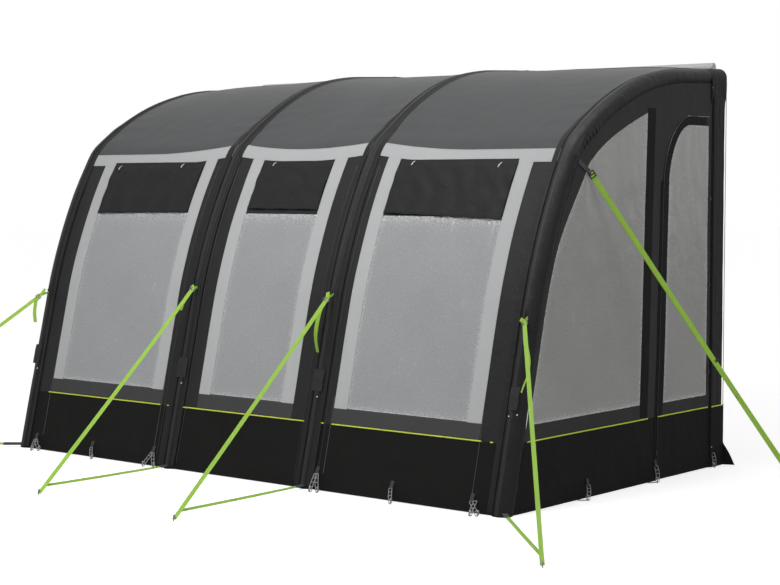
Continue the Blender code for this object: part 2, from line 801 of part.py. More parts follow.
def make_buckle(name, start, end, run, width):
    """A frame round the strap that slides along it."""
    frame = strap_frame(start, end)
    centre = start + frame @ Vector((run, 0.0, 0.0))
    turn = frame.to_4x4()
    outside = box((BUCKLE_LENGTH, width + 2 * BUCKLE_RIM, BUCKLE_THICKNESS), (0.0, 0.0, 0.0))
    bmesh.ops.transform(outside, matrix=turn, verts=outside.verts)
    slot = box(
        (BUCKLE_LENGTH + OVERRUN, width + BUCKLE_SLACK, STRAP_THICKNESS + BUCKLE_SLACK),
        (0.0, 0.0, 0.0),
    )
    bmesh.ops.transform(slot, matrix=turn, verts=slot.verts)
    buckle = add_object(name, outside, BLACK_PLASTIC, PLASTIC_ROUGHNESS)
    cutter = add_object(f"{name}_slot", slot, BLACK_PLASTIC, PLASTIC_ROUGHNESS)
    for obj in (buckle, cutter):
        obj.location = centre
    cut(buckle, cutter)


def strap_end(place, start):
    """Where a strap's end face stops, just clear of its peg and below the peg's hook."""
    peg = Vector((*place, STRAP_END_HEIGHT))
    away = start - peg
    dip = math.atan2(away.z, math.hypot(away.x, away.y))
    level = Vector((away.x, away.y, 0.0)).normalized()
    return peg + level * (PEG_RADIUS + STRAP_THICKNESS / 2 * math.sin(dip) + GAP)


def strap_start(beam, run, place):
    """Where a guy strap's end face stands just clear of the ridge down the sleeve's front."""
    x, _ = BEAMS[beam]
    ridge = at_offset(x, run, BEAM_RADIUS)
    _, across, through = strap_frame(ridge, Vector((*place, STRAP_END_HEIGHT))).col
    _, _, slope = profile(run)
    normal = Vector((0.0, -math.sin(slope), math.cos(slope)))
    corner = abs(across.dot(normal)) - abs(across.x) * math.tan(FACET / 2)
    clear = GUY_WIDTH / 2 * max(corner, 0.0) + STRAP_THICKNESS / 2 * abs(through.dot(normal))
    return at_offset(x, run, BEAM_RADIUS + clear + GAP)


def foot_reach(level):
    """How far the leaning sleeve reaches from its centre, level with the ground."""
    corners = [
        Vector((math.sin(FACET * i), -math.cos(FACET * i) / math.sin(LEG_LEAN), 0.0))
        for i in range(BEAM_SIDES)
    ]
    return BEAM_RADIUS * max(corner.dot(level) for corner in corners)


def make_guy(beam):
    """A strap from the beam to a peg, its return to the beam's foot, its buckle and its peg."""
    x, _ = BEAMS[beam]
    run, peg_x, peg_y, buckle_run = GUYS[beam]
    place = (peg_x, peg_y)
    start = strap_start(beam, run, place)
    end = strap_end(place, start)
    sewn = end + (start - end).normalized() * GUY_SEWN_RUN
    centre = Vector((x, FOOT_Y + RETURN_HEIGHT / math.tan(LEG_LEAN), RETURN_HEIGHT))
    level = Vector((sewn.x - centre.x, sewn.y - centre.y, 0.0)).normalized()
    foot = centre + level * (foot_reach(level) + STRAP_THICKNESS / 2 / math.tan(LEG_LEAN) + GAP)
    strap = add_object(
        f"guy_strap_{beam}", ribbon(start, end, GUY_WIDTH, STRAP_THICKNESS), LIME_WEBBING, FABRIC_ROUGHNESS
    )
    back = add_object(
        f"guy_return_{beam}", ribbon(sewn, foot, GUY_WIDTH, STRAP_THICKNESS), LIME_WEBBING, FABRIC_ROUGHNESS
    )
    cut(strap, back, "UNION")
    make_buckle(f"guy_buckle_{beam}", start, end, buckle_run, GUY_WIDTH)
    make_peg(f"guy_peg_{beam}", place, start)


def make_storm_strap():
    """A tab sewn at the right beam's eaves, and the strap from it to a peg behind."""
    place = (STORM_PEG_X, STORM_PEG_Y)
    _, _, slope = profile(STORM_RUN)
    length = STORM_INSET - PANEL_EDGE
    wall_x = SIDE_X + CLOTH / 2 + GAP
    tab = box((STORM_TAB_CLOTH, length, STORM_WIDTH), (0.0, 0.0, 0.0))
    bmesh.ops.rotate(tab, matrix=Matrix.Rotation(slope - math.pi / 2, 3, "X"), verts=tab.verts)
    middle = inner_edge(STORM_RUN, PANEL_EDGE + length / 2)
    bmesh.ops.translate(tab, vec=(wall_x + STORM_TAB_CLOTH / 2, *middle), verts=tab.verts)
    add_object("storm_tab", tab, BLACK_FABRIC, FABRIC_ROUGHNESS)

    hold = inner_edge(STORM_RUN, STORM_INSET - STORM_WIDTH)
    face = Vector((wall_x + STORM_TAB_CLOTH + GAP, *hold))
    across = strap_frame(face, strap_end(place, face)).col[1]
    start = face + Vector((STORM_WIDTH / 2 * abs(across.x), 0.0, 0.0))
    end = strap_end(place, start)
    strap = ribbon(start, end, STORM_WIDTH, STRAP_THICKNESS)
    add_object("storm_strap", strap, LIME_WEBBING, FABRIC_ROUGHNESS)
    make_buckle("storm_buckle", start, end, STORM_BUCKLE_RUN, STORM_WIDTH)
    make_buckle("storm_adjuster", start, end, STORM_ADJUSTER_RUN, STORM_WIDTH)
    make_peg("storm_peg", place, start)


clear_scene()
for beam_name in BEAMS:
    make_beam_sleeve(beam_name)
    make_air_tube(beam_name)
    make_valve_cover(beam_name)
for bay_name in BAYS:
    make_roof_panel(bay_name)
    make_header_band(bay_name)
    make_front_panel(bay_name)
    make_infill("window", bay_name, WINDOW_BOTTOM_RUN, WINDOW_TOP_RUN, FILM, CLEAR_FILM, FILM_ROUGHNESS)
    make_infill("vent_mesh", bay_name, VENT_BOTTOM_RUN, VENT_TOP_RUN, MESH_CLOTH, VENT_MESH, FABRIC_ROUGHNESS)
    make_vent_flap(bay_name)
for side_name in SIDES:
    make_side(side_name)
make_rail_bead()
for guy_name in GUYS:
    make_guy(guy_name)
make_storm_strap()
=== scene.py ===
"""The finished look of a caravan porch awning on four air beams. Metres, +Z up, front facing -Y."""

import math

import bpy
from mathutils import Matrix, Vector, noise


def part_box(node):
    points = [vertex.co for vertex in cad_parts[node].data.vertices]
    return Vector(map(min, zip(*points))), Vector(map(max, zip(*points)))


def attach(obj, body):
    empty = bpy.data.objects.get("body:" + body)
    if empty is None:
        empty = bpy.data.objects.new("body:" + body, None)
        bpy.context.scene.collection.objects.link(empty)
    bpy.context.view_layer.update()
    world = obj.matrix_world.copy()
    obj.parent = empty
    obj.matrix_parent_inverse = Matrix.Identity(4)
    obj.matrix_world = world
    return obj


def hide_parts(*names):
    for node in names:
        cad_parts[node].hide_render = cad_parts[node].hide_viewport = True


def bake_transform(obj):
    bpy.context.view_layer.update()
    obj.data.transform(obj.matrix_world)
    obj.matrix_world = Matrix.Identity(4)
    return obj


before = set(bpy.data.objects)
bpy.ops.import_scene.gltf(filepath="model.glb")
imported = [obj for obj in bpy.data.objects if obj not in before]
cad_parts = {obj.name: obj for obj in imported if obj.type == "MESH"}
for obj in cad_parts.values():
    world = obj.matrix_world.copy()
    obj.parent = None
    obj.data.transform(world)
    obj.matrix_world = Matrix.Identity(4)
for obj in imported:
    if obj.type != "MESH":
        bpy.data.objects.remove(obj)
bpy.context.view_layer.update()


# Camera
# A long lens at eye height, off the right-hand corner, so that the front and the right side both show.

camera_data = bpy.data.cameras.new("camera")
camera_data.lens = 81.88
camera_data.sensor_width = 36.0
camera_data.clip_end = 200.0
camera = bpy.data.objects.new("camera", camera_data)
camera.location = (7.203, -8.4045, 1.703)
camera.rotation_euler = (math.radians(86.502), 0.0, math.radians(39.548))
bpy.context.scene.collection.objects.link(camera)
bpy.context.scene.camera = camera
bpy.context.scene.view_settings.view_transform = "Standard"


# Studio
# A white sweep under even sky light. A broad lamp stands in front of the eaves, one overhead only shines
# on glossy cloth, and weak ones fill the side and the back. The floor keeps the awning's shadow.

WHITE = (1.0, 1.0, 1.0, 1.0)
SKY_LEVEL, FLOOR_GREY, FLOOR_GLOW = 0.32, (0.82, 0.82, 0.82, 1.0), 0.66


def add_lamp(name, kind, strength, size, place, target, sheen_only=False):
    """A lamp aimed at a target, its size in metres for an area and in degrees for a sun."""
    lamp = bpy.data.lights.new(name, kind)
    lamp.energy = strength
    if kind == "AREA":
        lamp.size = size
    else:
        lamp.angle = math.radians(size)
    obj = bpy.data.objects.new(name, lamp)
    obj.location = place
    obj.rotation_euler = (Vector(target) - Vector(place)).to_track_quat("-Z", "Y").to_euler()
    obj.visible_camera = False
    obj.visible_diffuse = not sheen_only
    bpy.context.scene.collection.objects.link(obj)


def add_node(owner, kind, options=None, **inputs):
    """A node with its options and inputs set; an input named n0, n1 is taken by its number."""
    tree = owner.node_tree
    made = tree.nodes.new("ShaderNode" + kind)
    for name, value in (options or {}).items():
        setattr(made, name, value)
    for name, value in inputs.items():
        socket = made.inputs[int(name[1:]) if name[1:].isdigit() else name.replace("_", " ")]
        if isinstance(value, bpy.types.NodeSocket):
            tree.links.new(value, socket)
        else:
            socket.default_value = value
    return made


def work(owner, operation, *values):
    inputs = {f"n{i}": value for i, value in enumerate(values)}
    return add_node(owner, "Math", {"operation": operation}, **inputs).outputs[0]


def new_material(name, colour, roughness, **sockets):
    material = bpy.data.materials.new(name)
    material.use_nodes = True
    shader = material.node_tree.nodes["Principled BSDF"]
    shader.inputs["Base Color"].default_value = colour
    shader.inputs["Roughness"].default_value = roughness
    for socket, value in sockets.items():
        shader.inputs[socket.replace("_", " ")].default_value = value
    material.diffuse_color = colour
    return material


def wire(material, **sockets):
    """Links node outputs to the sockets of the material's shader."""
    tree = material.node_tree
    for socket, output in sockets.items():
        tree.links.new(output, tree.nodes["Principled BSDF"].inputs[socket.replace("_", " ")])


add_lamp("front_lamp", "AREA", 165.0, 2.6, (0.5, -4.3, 4.7), (0.1, -0.9, 1.9))
add_lamp("top_lamp", "AREA", 380.0, 3.2, (2.4, -1.3, 6.2), (1.0, -0.8, 2.0), sheen_only=True)
add_lamp("side_lamp", "SUN", 0.55, 50.0, (8.0, -1.0, 5.0), (0.0, 0.0, 1.0))
add_lamp("back_lamp", "SUN", 0.08, 60.0, (-5.0, 8.0, 5.0), (0.0, 0.0, 1.0))

# The sky is white to the camera and in reflections, and gives an even light at its own level.
sky = bpy.data.worlds.new("sky")
bpy.context.scene.world = sky
sky.use_nodes = True
rays = add_node(sky, "LightPath").outputs
seen = work(sky, "MAXIMUM", rays["Is Camera Ray"], rays["Is Glossy Ray"])
seen = work(sky, "MAXIMUM", seen, rays["Is Transmission Ray"])
level = add_node(sky, "MapRange", Value=seen, To_Min=SKY_LEVEL, To_Max=1.0).outputs[0]
background = sky.node_tree.nodes["Background"]
sky.node_tree.links.new(level, background.inputs["Strength"])
background.inputs["Color"].default_value = WHITE

bpy.ops.object.select_all(action="DESELECT")
bpy.ops.mesh.primitive_plane_add(size=120.0, location=(0.0, 0.0, 0.0))
floor = bpy.context.object
floor.name = "floor"
floor_paint = new_material("floor_white", FLOOR_GREY, 0.95, Specular_IOR_Level=0.0, Emission_Color=WHITE)
seen = add_node(floor_paint, "LightPath").outputs["Is Camera Ray"]
wire(floor_paint, Emission_Strength=work(floor_paint, "MULTIPLY", seen, FLOOR_GLOW))
floor.data.materials.append(floor_paint)


# Beam sleeves
# Four arched tubes of black coated polyester: a straight leg, a slow bend up the front, a tight one at
# the eaves and a long one over the roof. Each closes with a sewn ridge down its outer side, and the slack
# on the inner side of the bend is drawn into small gathers.

LEG_LEAN, LEG_RUN, FOOT_Y = math.radians(76.5), 1.0, -1.068437
BENDS = ((3.1, math.radians(58.7)), (0.23, math.radians(37.7)), (1.9, math.radians(2.5)))
BEAM_RADIUS, BEAM_END_RUN = 0.055, 3.6446
HEADER_TOP_RUN, LIFT_END_RUN, INNER_LIFT = 1.99, 2.9, 0.045
OUTER_X, INNER_X = 1.895, 0.55
BEAMS = {"1": (-OUTER_X, 0.0), "2": (-INNER_X, 1.0), "3": (INNER_X, 1.0), "4": (OUTER_X, 0.0)}
GATHER_RUNS, GATHER_PITCH, GATHER_DEPTH, RIDGE_HALF = (2.0, 2.27), 0.0375, 0.0075, 0.011


def profile(run):
    """The beam's Y, Z and slope at a length along it from the ground."""
    along = min(run, LEG_RUN)
    y, z, slope = FOOT_Y + along * math.cos(LEG_LEAN), along * math.sin(LEG_LEAN), LEG_LEAN
    left = max(run - LEG_RUN, 0.0)
    for radius, end_slope in BENDS:
        length = min(left, radius * (slope - end_slope))
        turned = slope - length / radius
        y += radius * (math.sin(slope) - math.sin(turned))
        z += radius * (math.cos(turned) - math.cos(slope))
        slope, left = turned, left - length
    return y + left * math.cos(slope), z + left * math.sin(slope), slope


def ease(value):
    value = min(max(value, 0.0), 1.0)
    return value * value * (3 - 2 * value)


def lift(run, share):
    return INNER_LIFT * share * ease((run - HEADER_TOP_RUN) / (LIFT_END_RUN - HEADER_TOP_RUN))


def off_beam(x, run, offset, share=0.0):
    """The point at X, a length along the beams and a distance outside their centreline."""
    y, z, slope = profile(run)
    return Vector((x, y - offset * math.sin(slope), z + lift(run, share) + offset * math.cos(slope)))


def rumple(x, y, size, seed=0.0):
    """Smooth unevenness from about -1 to 1, with lumps about size across."""
    return noise.noise(Vector((x / size, y / size, seed)))


def stops(step, *marks):
    """Values from the first mark to the last, no more than step apart, with every mark among them."""
    values = [marks[0]]
    for low, high in zip(marks, marks[1:]):
        count = max(1, math.ceil((high - low) / step - 1e-6))
        values += [low + (high - low) * (i + 1) / count for i in range(count)]
    return values


def lay(name, across, along, place):
    """A grid laid over place(a, b) at the stops across and along it, with a UV map in metres."""
    bpy.ops.object.select_all(action="DESELECT")
    bpy.ops.mesh.primitive_grid_add(x_subdivisions=len(across) - 1, y_subdivisions=len(along) - 1, size=1.0)
    made = bpy.context.object
    made.name = made.data.name = name
    found = []
    for vertex in made.data.vertices:
        a = across[round((vertex.co.x + 0.5) * (len(across) - 1))]
        b = along[round((vertex.co.y + 0.5) * (len(along) - 1))]
        found.append((a - across[0], b - along[0]))
        vertex.co = place(a, b)
    for loop, uv in zip(made.data.loops, made.data.uv_layers.active.data):
        uv.uv = found[loop.vertex_index]
    return made


def apply(obj, kind, **settings):
    """Adds a modifier with these settings and applies it."""
    bpy.context.view_layer.objects.active = obj
    modifier = obj.modifiers.new(kind.lower(), kind)
    for name, value in settings.items():
        setattr(modifier, name, value)
    bpy.ops.object.modifier_apply(modifier=modifier.name)
    return obj


def take(*objs):
    """Selects just these pieces, the first of them active."""
    bpy.ops.object.select_all(action="DESELECT")
    for obj in objs:
        obj.select_set(True)
    bpy.context.view_layer.objects.active = objs[0]
    return objs[0]


def put(obj, material, body, *nodes, slot, angle=40.0):
    """Gives a piece its material and smooth shading, and sets it on its body, if any, in place of CAD nodes."""
    if material:
        obj.data.materials.clear()
        obj.data.materials.append(material)
    take(obj)
    bpy.ops.object.shade_smooth_by_angle(angle=math.radians(angle))
    if body:
        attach(obj, body)
    if nodes:
        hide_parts(*nodes)
    return obj


def true_map(obj, place, length):
    """Redraws the map of a grid of shares at its real widths, for cloth that isn't cut square."""
    for uv in obj.data.uv_layers.active.data:
        a, b = uv.uv
        across = [place(a * i / 6, b) for i in range(7)]
        uv.uv = (sum((high - low).length for low, high in zip(across, across[1:])), b * length)


CLOTH, DOUBLED, TAPE, FILM = 0.002, 0.0012, 0.0008, 0.001
GRID = 0.014


def sew(piece, thick, material, body, *nodes, slot, rests_on, held="stretched", offset=0.0, with_pieces=()):
    """Finishes a laid piece of cloth: its thickness, its material and its body, in place of its CAD nodes."""
    apply(piece, "SOLIDIFY", thickness=thick, offset=offset)
    put(piece, material, body, *nodes, slot=slot)
    return piece


def mix(material, factor, low, high):
    return add_node(material, "Mix", {"data_type": "RGBA"}, n0=factor, n6=low, n7=high).outputs[2]


def shade(colour, amount):
    return tuple(min(part * amount, 1.0) for part in colour[:3]) + (1.0,)


def cloth(name, colour, thread=0.0014, roughness=0.8, mottle=0.12, weave=0.35, crease=0.25, seams=(), dash=0.006,
          stitches=None, gloss=0.5):
    """Plain-woven cloth on the piece's UV map: threads both ways, slubs, uneven dye and soft creases.
    A stitched line runs along the map at each of the distances across it in seams."""
    material = new_material(name, colour, roughness, Specular_IOR_Level=gloss)
    uv = add_node(material, "TexCoord").outputs["UV"]
    warp, weft = (
        add_node(material, "TexWave", {"bands_direction": axis}, Vector=uv, Scale=0.314 / thread).outputs["Fac"]
        for axis in "XY"
    )
    slub = add_node(material, "TexNoise", Vector=uv, Scale=220.0, Detail=2.0).outputs["Fac"]
    cloud = add_node(material, "TexNoise", Vector=uv, Scale=3.5, Detail=5.0, Roughness=0.62).outputs["Fac"]
    threads = work(material, "MULTIPLY", warp, weft)
    tone = work(material, "ADD", work(material, "MULTIPLY", cloud, 0.65), work(material, "MULTIPLY", slub, 0.35))
    spread = add_node(material, "MapRange", Value=tone, From_Min=0.32, From_Max=0.68).outputs[0]
    base = mix(material, spread, shade(colour, 1 - mottle), shade(colour, 1 + mottle))
    base = mix(material, work(material, "MULTIPLY", threads, 0.25), base, shade(colour, 1.35))
    height = work(material, "ADD", threads, work(material, "MULTIPLY", slub, 0.6))
    if seams:
        split = add_node(material, "SeparateXYZ", Vector=uv)
        gaps = work(material, "FRACT", work(material, "DIVIDE", split.outputs[1], dash))
        lines = None
        for seam in seams:
            off = work(material, "ABSOLUTE", work(material, "SUBTRACT", split.outputs[0], seam))
            near = work(material, "LESS_THAN", off, 0.0009)
            lines = near if lines is None else work(material, "MAXIMUM", lines, near)
        stitch = work(material, "MULTIPLY", lines, work(material, "LESS_THAN", gaps, 0.66))
        base = mix(material, stitch, base, stitches or shade(colour, 1.9))
        height = work(material, "ADD", height, work(material, "MULTIPLY", stitch, 4.0))
    bump = add_node(material, "Bump", Height=height, Strength=weave, Distance=0.0004).outputs[0]
    soft = add_node(material, "TexNoise", Vector=uv, Scale=14.0, Detail=3.0, Distortion=0.8).outputs["Fac"]
    bump = add_node(material, "Bump", Height=soft, Strength=crease, Distance=0.006, Normal=bump).outputs[0]
    rough = add_node(material, "MapRange", Value=slub, To_Min=roughness - 0.08, To_Max=roughness + 0.08).outputs[0]
    wire(material, Base_Color=base, Normal=bump, Roughness=rough)
    return material


sleeve_cloth = cloth(
    "sleeve_cloth", (0.0085, 0.0085, 0.0087, 1.0), roughness=0.48, mottle=0.16, crease=0.8, gloss=0.15
)

ridge_cloth = cloth(
    "ridge_cloth", (0.0125, 0.0125, 0.0128, 1.0), roughness=0.5, seams=(0.0025, 0.0195), gloss=0.22
)


def sleeve_point(beam, angle, run, proud=0.0):
    """On the sleeve's rumpled skin, at an angle round it from its outer ridge."""
    x, share = BEAMS[beam]
    seed = 3.0 * float(beam)
    y, z, slope = profile(run)
    out = Vector((0.0, -math.sin(slope), math.cos(slope)))
    along = Vector((0.0, math.cos(slope), math.sin(slope)))
    bend = ease((run - 1.75) / 0.2) * ease((2.85 - run) / 0.6)
    turn = Vector((math.cos(angle), math.sin(angle), 0.0)) * 1.6
    drawn = ease((run - GATHER_RUNS[0]) / 0.05) * ease((GATHER_RUNS[1] - run) / 0.08) * (abs(x) == OUTER_X)
    teeth = ease(0.45 - 1.3 * math.cos(angle)) * math.sin(math.pi * run / GATHER_PITCH) ** 2
    gather = GATHER_DEPTH * drawn * teeth
    ripple = 0.0018 * noise.noise(turn + Vector((seed, 0.0, run * 3.3)))
    crease = 0.0035 * max(0.0, noise.noise(turn * 0.8 + Vector((0.0, seed, run * 11.0)))) * (0.35 + 0.65 * bend)
    low = 0.004 * ease((0.9 - run) / 0.5) * max(0.0, noise.noise(turn * 1.3 + Vector((seed, seed, run * 6.0))))
    radius = BEAM_RADIUS + 0.0004 + ripple + crease + gather + low + proud
    centre = Vector((x, y, z + lift(run, share)))
    point = centre + radius * (math.cos(angle) * out + math.sin(angle) * Vector((1.0, 0.0, 0.0)))
    return point - along * (point.z / along.z) * ease(1 - run / 0.1)


for beam in BEAMS:
    sleeve = lay(
        f"sleeve_{beam}",
        stops(math.pi / 18, 0.0, 2 * math.pi),
        stops(0.0062, 0.0, BEAM_END_RUN),
        lambda angle, run: sleeve_point(beam, angle, run),
    )
    for uv in sleeve.data.uv_layers.active.data:
        uv.uv[0] *= BEAM_RADIUS
    apply(sleeve, "WELD", merge_threshold=0.00001)
    put(sleeve, sleeve_cloth, "canopy", f"beam_sleeve_{beam}", slot="black_fabric", angle=60.0)

    ridge = lay(
        f"sleeve_ridge_{beam}",
        stops(0.0022, -RIDGE_HALF, RIDGE_HALF),
        stops(0.012, 0.03, BEAM_END_RUN - 0.004),
        lambda a, run: sleeve_point(beam, a / BEAM_RADIUS, run, 0.0006 + 0.0009 * ease(1.6 - abs(a) / 0.0062)),
    )
    put(ridge, ridge_cloth, "canopy", slot="black_fabric")


# Air tubes
# Welded film bladders inside the sleeves, each with a moulded valve on its front: they show only
# where a valve cover is lifted.



def skin(name, colour, roughness, scale, detail, strength, depth, dark=None, pale=None, **sockets):
    """Film, rubber, plastic or metal with a fine grain, uneven from dark to pale where these are given."""
    material = new_material(name, colour, roughness, **sockets)
    place = add_node(material, "TexCoord").outputs["Object"]
    grain = add_node(material, "TexNoise", Vector=place, Scale=scale, Detail=detail).outputs["Fac"]
    wire(material, Normal=add_node(material, "Bump", Height=grain, Strength=strength, Distance=depth).outputs[0])
    if dark:
        wire(material, Base_Color=mix(material, grain, dark, pale))
    return material


def paint_node(node, material):
    """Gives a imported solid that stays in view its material."""
    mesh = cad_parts[node].data
    mesh.materials.clear()
    mesh.materials.append(material)


film_skin = skin(
    "bladder_skin", (0.52, 0.54, 0.53, 1.0), 0.35, 60.0, 4.0, 0.3, 0.001,
    dark=(0.44, 0.46, 0.45, 1.0), pale=(0.6, 0.62, 0.61, 1.0), Coat_Weight=0.3,
)
for beam in BEAMS:
    paint_node(f"air_tube_{beam}", film_skin)


# Valve covers
# A doubled flap of the sleeve's cloth over each valve, sewn along its top, with a tape hem round it.

PANEL_OFFSET = 0.04763
COVER_HALF, COVER_INNER, COVER_RUNS = 0.039, 0.019, (0.54, 0.665)
cover_cloth = cloth(
    "cover_cloth", (0.016, 0.016, 0.017, 1.0), roughness=0.6, seams=(0.004, 0.074), crease=0.8, gloss=0.2
)
for beam, (x, share) in BEAMS.items():
    # The outer ones are cut short towards the wall, which turns there.
    ends = (x - COVER_HALF, x + COVER_HALF)
    if not share:
        ends = sorted((x - math.copysign(COVER_INNER, x), x + math.copysign(COVER_HALF, x)))

    def cover_point(a, run):
        down = COVER_RUNS[1] - run
        stand = 0.0026 * ease(down / 0.05) + 0.0016 * rumple(a, run, 0.03, x) * ease(down / 0.03)
        return off_beam(a, run, BEAM_RADIUS + 0.0004 + stand)

    cover = lay(f"valve_flap_{beam}", stops(0.0026, *ends), stops(0.005, *COVER_RUNS), cover_point)
    apply(cover, "SOLIDIFY", thickness=DOUBLED, offset=1.0)
    apply(cover, "BEVEL", width=0.0004, segments=1)
    put(cover, cover_cloth, f"valve_cover_{beam}", f"valve_cover_{beam}", slot="black_fabric")


# Roof
# Three panels of grey coated polyester, sewn between the beams and sagging a little. Each is pulled
# smooth towards the rail, with soft drag lines from the beams at the eaves.

ROOF_END_RUN, ROOF_SAG, EAVES_RUN = 3.6694, 0.02, 0.2
BAYS = {"left": (-1.86605, -0.57895), "middle": (-0.52105, 0.52105), "right": (0.57895, 1.86605)}
SEAM_XS = (0.521, 0.579, 1.866)
HEADER_WIDTH = 0.080

roof_cloth = cloth(
    "roof_cloth", (0.073, 0.075, 0.077, 1.0), roughness=0.5, mottle=0.06, weave=0.3, crease=0.18, gloss=0.13
)


def bay_across(bay, x):
    low, high = BAYS[bay]
    return (x - low) / (high - low)


def bay_share(bay, x):
    """How much of the inner beams' lift the roof has at X."""
    if bay == "middle":
        return 1.0
    across = bay_across(bay, x)
    return 1 - (1 - across if bay == "left" else across) ** 4


def header_top(x):
    """The length along the beams at which the roof ends: highest at the inner beams."""
    if abs(x) < INNER_X:
        return 1.990 + 0.045 * (x / INNER_X) ** 2
    return 1.972 + 0.063 * max(0.0, (1.3 - abs(x)) / 0.75) ** 2


def header_bottom(x):
    return header_top(x) - HEADER_WIDTH


def roof_point(bay, x, run):
    across = bay_across(bay, x)
    back = (run - HEADER_TOP_RUN) / (ROOF_END_RUN - HEADER_TOP_RUN)
    belly = 4 * across * (1 - across)
    sag = ROOF_SAG * belly * math.sin(math.pi * min(max(back, 0.0), 1.0))
    near = math.exp(-min(across, 1 - across) * 9.0)
    hold = ease(min(across, 1 - across) / 0.05) * ease((1 - back) / 0.05)
    soft = 0.0035 * rumple(x, run * 0.6, 0.33, 4.0) + 0.0012 * rumple(x, run, 0.07, 9.0)
    drag = 0.0028 * near * math.sin(run * 46.0 + 3.0 * rumple(x, run, 0.4, 2.0)) * ease((2.7 - run) / 0.5)
    return off_beam(x, run, PANEL_OFFSET - sag + (soft + drag) * hold, bay_share(bay, x))


for bay, (low, high) in BAYS.items():

    def from_eaves(x, a):
        uneven = (header_top(x) - HEADER_TOP_RUN) * ease(1 - a / EAVES_RUN)
        return roof_point(bay, x, HEADER_TOP_RUN + a + uneven)

    rows = stops(GRID, 0.0, EAVES_RUN, ROOF_END_RUN - HEADER_TOP_RUN)
    roof = lay(f"roof_{bay}", stops(GRID, low, high), rows, from_eaves)
    held_by = [f"beam_sleeve_{beam}" for beam in BEAMS] + ["rail_bead"]
    sew(roof, CLOTH, roof_cloth, "canopy", f"roof_panel_{bay}", slot="roof_fabric", rests_on=held_by)


# Header bands
# Light grey bands sewn across each bay under the roof, hanging with the roof's edge.

BAND_GREY, BAND_STITCH = (0.435, 0.44, 0.445, 1.0), (0.36, 0.37, 0.38, 1.0)
PANEL_TOP_RUN = 1.92
header_cloth = cloth(
    "header_cloth", BAND_GREY, roughness=0.7, mottle=0.05, crease=0.2, gloss=0.2,
    seams=(0.004, 0.076), stitches=BAND_STITCH
)


def wall_offset(x, run):
    """How far the front's cloth stands off the beams' centreline."""
    edge = min(abs(abs(x) - seam) for seam in SEAM_XS)
    hold = ease(edge / 0.09) * ease((header_bottom(x) - run) / 0.12)
    soft = 0.0035 * rumple(x, run * 0.7, 0.4, 1.0) + 0.0015 * rumple(x * 1.5, run * 0.5, 0.1, 6.0)
    hem = 0.005 * ease((0.16 - run) / 0.12) * (0.6 + 0.4 * rumple(x, run, 0.16, 8.0))
    return PANEL_OFFSET + soft * hold + hem * ease(edge / 0.05)


def header_point(x, run, proud=0.0):
    return off_beam(x, run, PANEL_OFFSET + 0.0009 + 0.0008 * rumple(x, run, 0.12, 5.0) + proud)


for bay, (low, high) in BAYS.items():
    header = lay(
        f"header_{bay}",
        stops(0.009, 0.0, HEADER_WIDTH),
        stops(0.02, low, high),
        lambda a, x: header_point(x, header_top(x) - a),
    )
    sew(header, CLOTH, header_cloth, "canopy", f"header_band_{bay}", slot="band_fabric", rests_on=[f"roof_{bay}"])


# Front walls
# One wall a bay, of black coated polyester above the lime piping and heavy black mud cloth below it,
# with cut-outs for the window and the vent. The outer two zip out and swing back about their outer legs.

MUD_TOP_RUN, HEM_RUN = 0.365, -0.0073
WINDOW_RUNS, VENT_RUNS = (0.46, 1.565), (1.60, 1.885)
WELD_GAP = 0.0006
WINDOW_X = {"left": (-1.621, -0.787), "middle": (-0.287, 0.287), "right": (0.787, 1.621)}
WALL_BODY = {"left": "front_panel_left", "middle": "canopy", "right": "front_panel_right"}

wall_cloth = cloth(
    "wall_cloth", (0.0110, 0.0110, 0.0112, 1.0), roughness=0.5, mottle=0.12, crease=0.6, gloss=0.17
)
mud_cloth = cloth(
    "mud_cloth", (0.0105, 0.0106, 0.0102, 1.0), thread=0.002, roughness=0.6, mottle=0.2, crease=0.5, gloss=0.05
)


def remove_faces(obj, unwanted):
    """Deletes the faces whose middle on the UV map meets a test."""
    take(obj)
    bpy.context.tool_settings.mesh_select_mode = (False, False, True)
    uvs = obj.data.uv_layers.active.data
    for face in obj.data.polygons:
        spots = [uvs[i].uv for i in face.loop_indices]
        face.select = unwanted(sum(uv[0] for uv in spots) / len(spots), sum(uv[1] for uv in spots) / len(spots))
    bpy.ops.object.mode_set(mode="EDIT")
    bpy.ops.mesh.delete(type="FACE")
    bpy.ops.object.mode_set(mode="OBJECT")


def add_mud_cloth(obj, top):
    """Gives a wall its second material, below the piping."""
    obj.data.materials.append(mud_cloth)
    for face in obj.data.polygons:
        face.material_index = int(face.center.z < top)


def wall_point(x, run, proud=0.0):
    return off_beam(x, run, wall_offset(x, run) + proud)


def to_header(x, run, start, lap):
    """Stretches the runs above a start so that the cloth's top follows the header and laps it."""
    return run + (header_bottom(x) + lap - PANEL_TOP_RUN) * ease((run - start) / (PANEL_TOP_RUN - start))


def hold_mesh_low(obj, floor_height=0.0015):
    for vertex in obj.data.vertices:
        vertex.co.z = max(vertex.co.z, floor_height)


for bay, (low, high) in BAYS.items():
    left, right = WINDOW_X[bay]
    runs = stops(GRID, HEM_RUN, MUD_TOP_RUN, *WINDOW_RUNS, *VENT_RUNS, PANEL_TOP_RUN)
    wall = lay(
        f"wall_{bay}", stops(GRID, low, left, right, high), runs,
        lambda x, run: wall_point(x, to_header(x, run, VENT_RUNS[1], 0.006)),
    )
    remove_faces(
        wall,
        lambda a, b: left < a + low < right
        and any(bottom < b + HEM_RUN < top for bottom, top in (WINDOW_RUNS, VENT_RUNS)),
    )
    hold_mesh_low(wall)
    sew(
        wall, CLOTH, wall_cloth, WALL_BODY[bay], f"front_panel_{bay}", slot="black_fabric",
        rests_on=[f"header_band_{bay}"],
    )
    add_mud_cloth(wall, profile(MUD_TOP_RUN)[1] + 0.011)
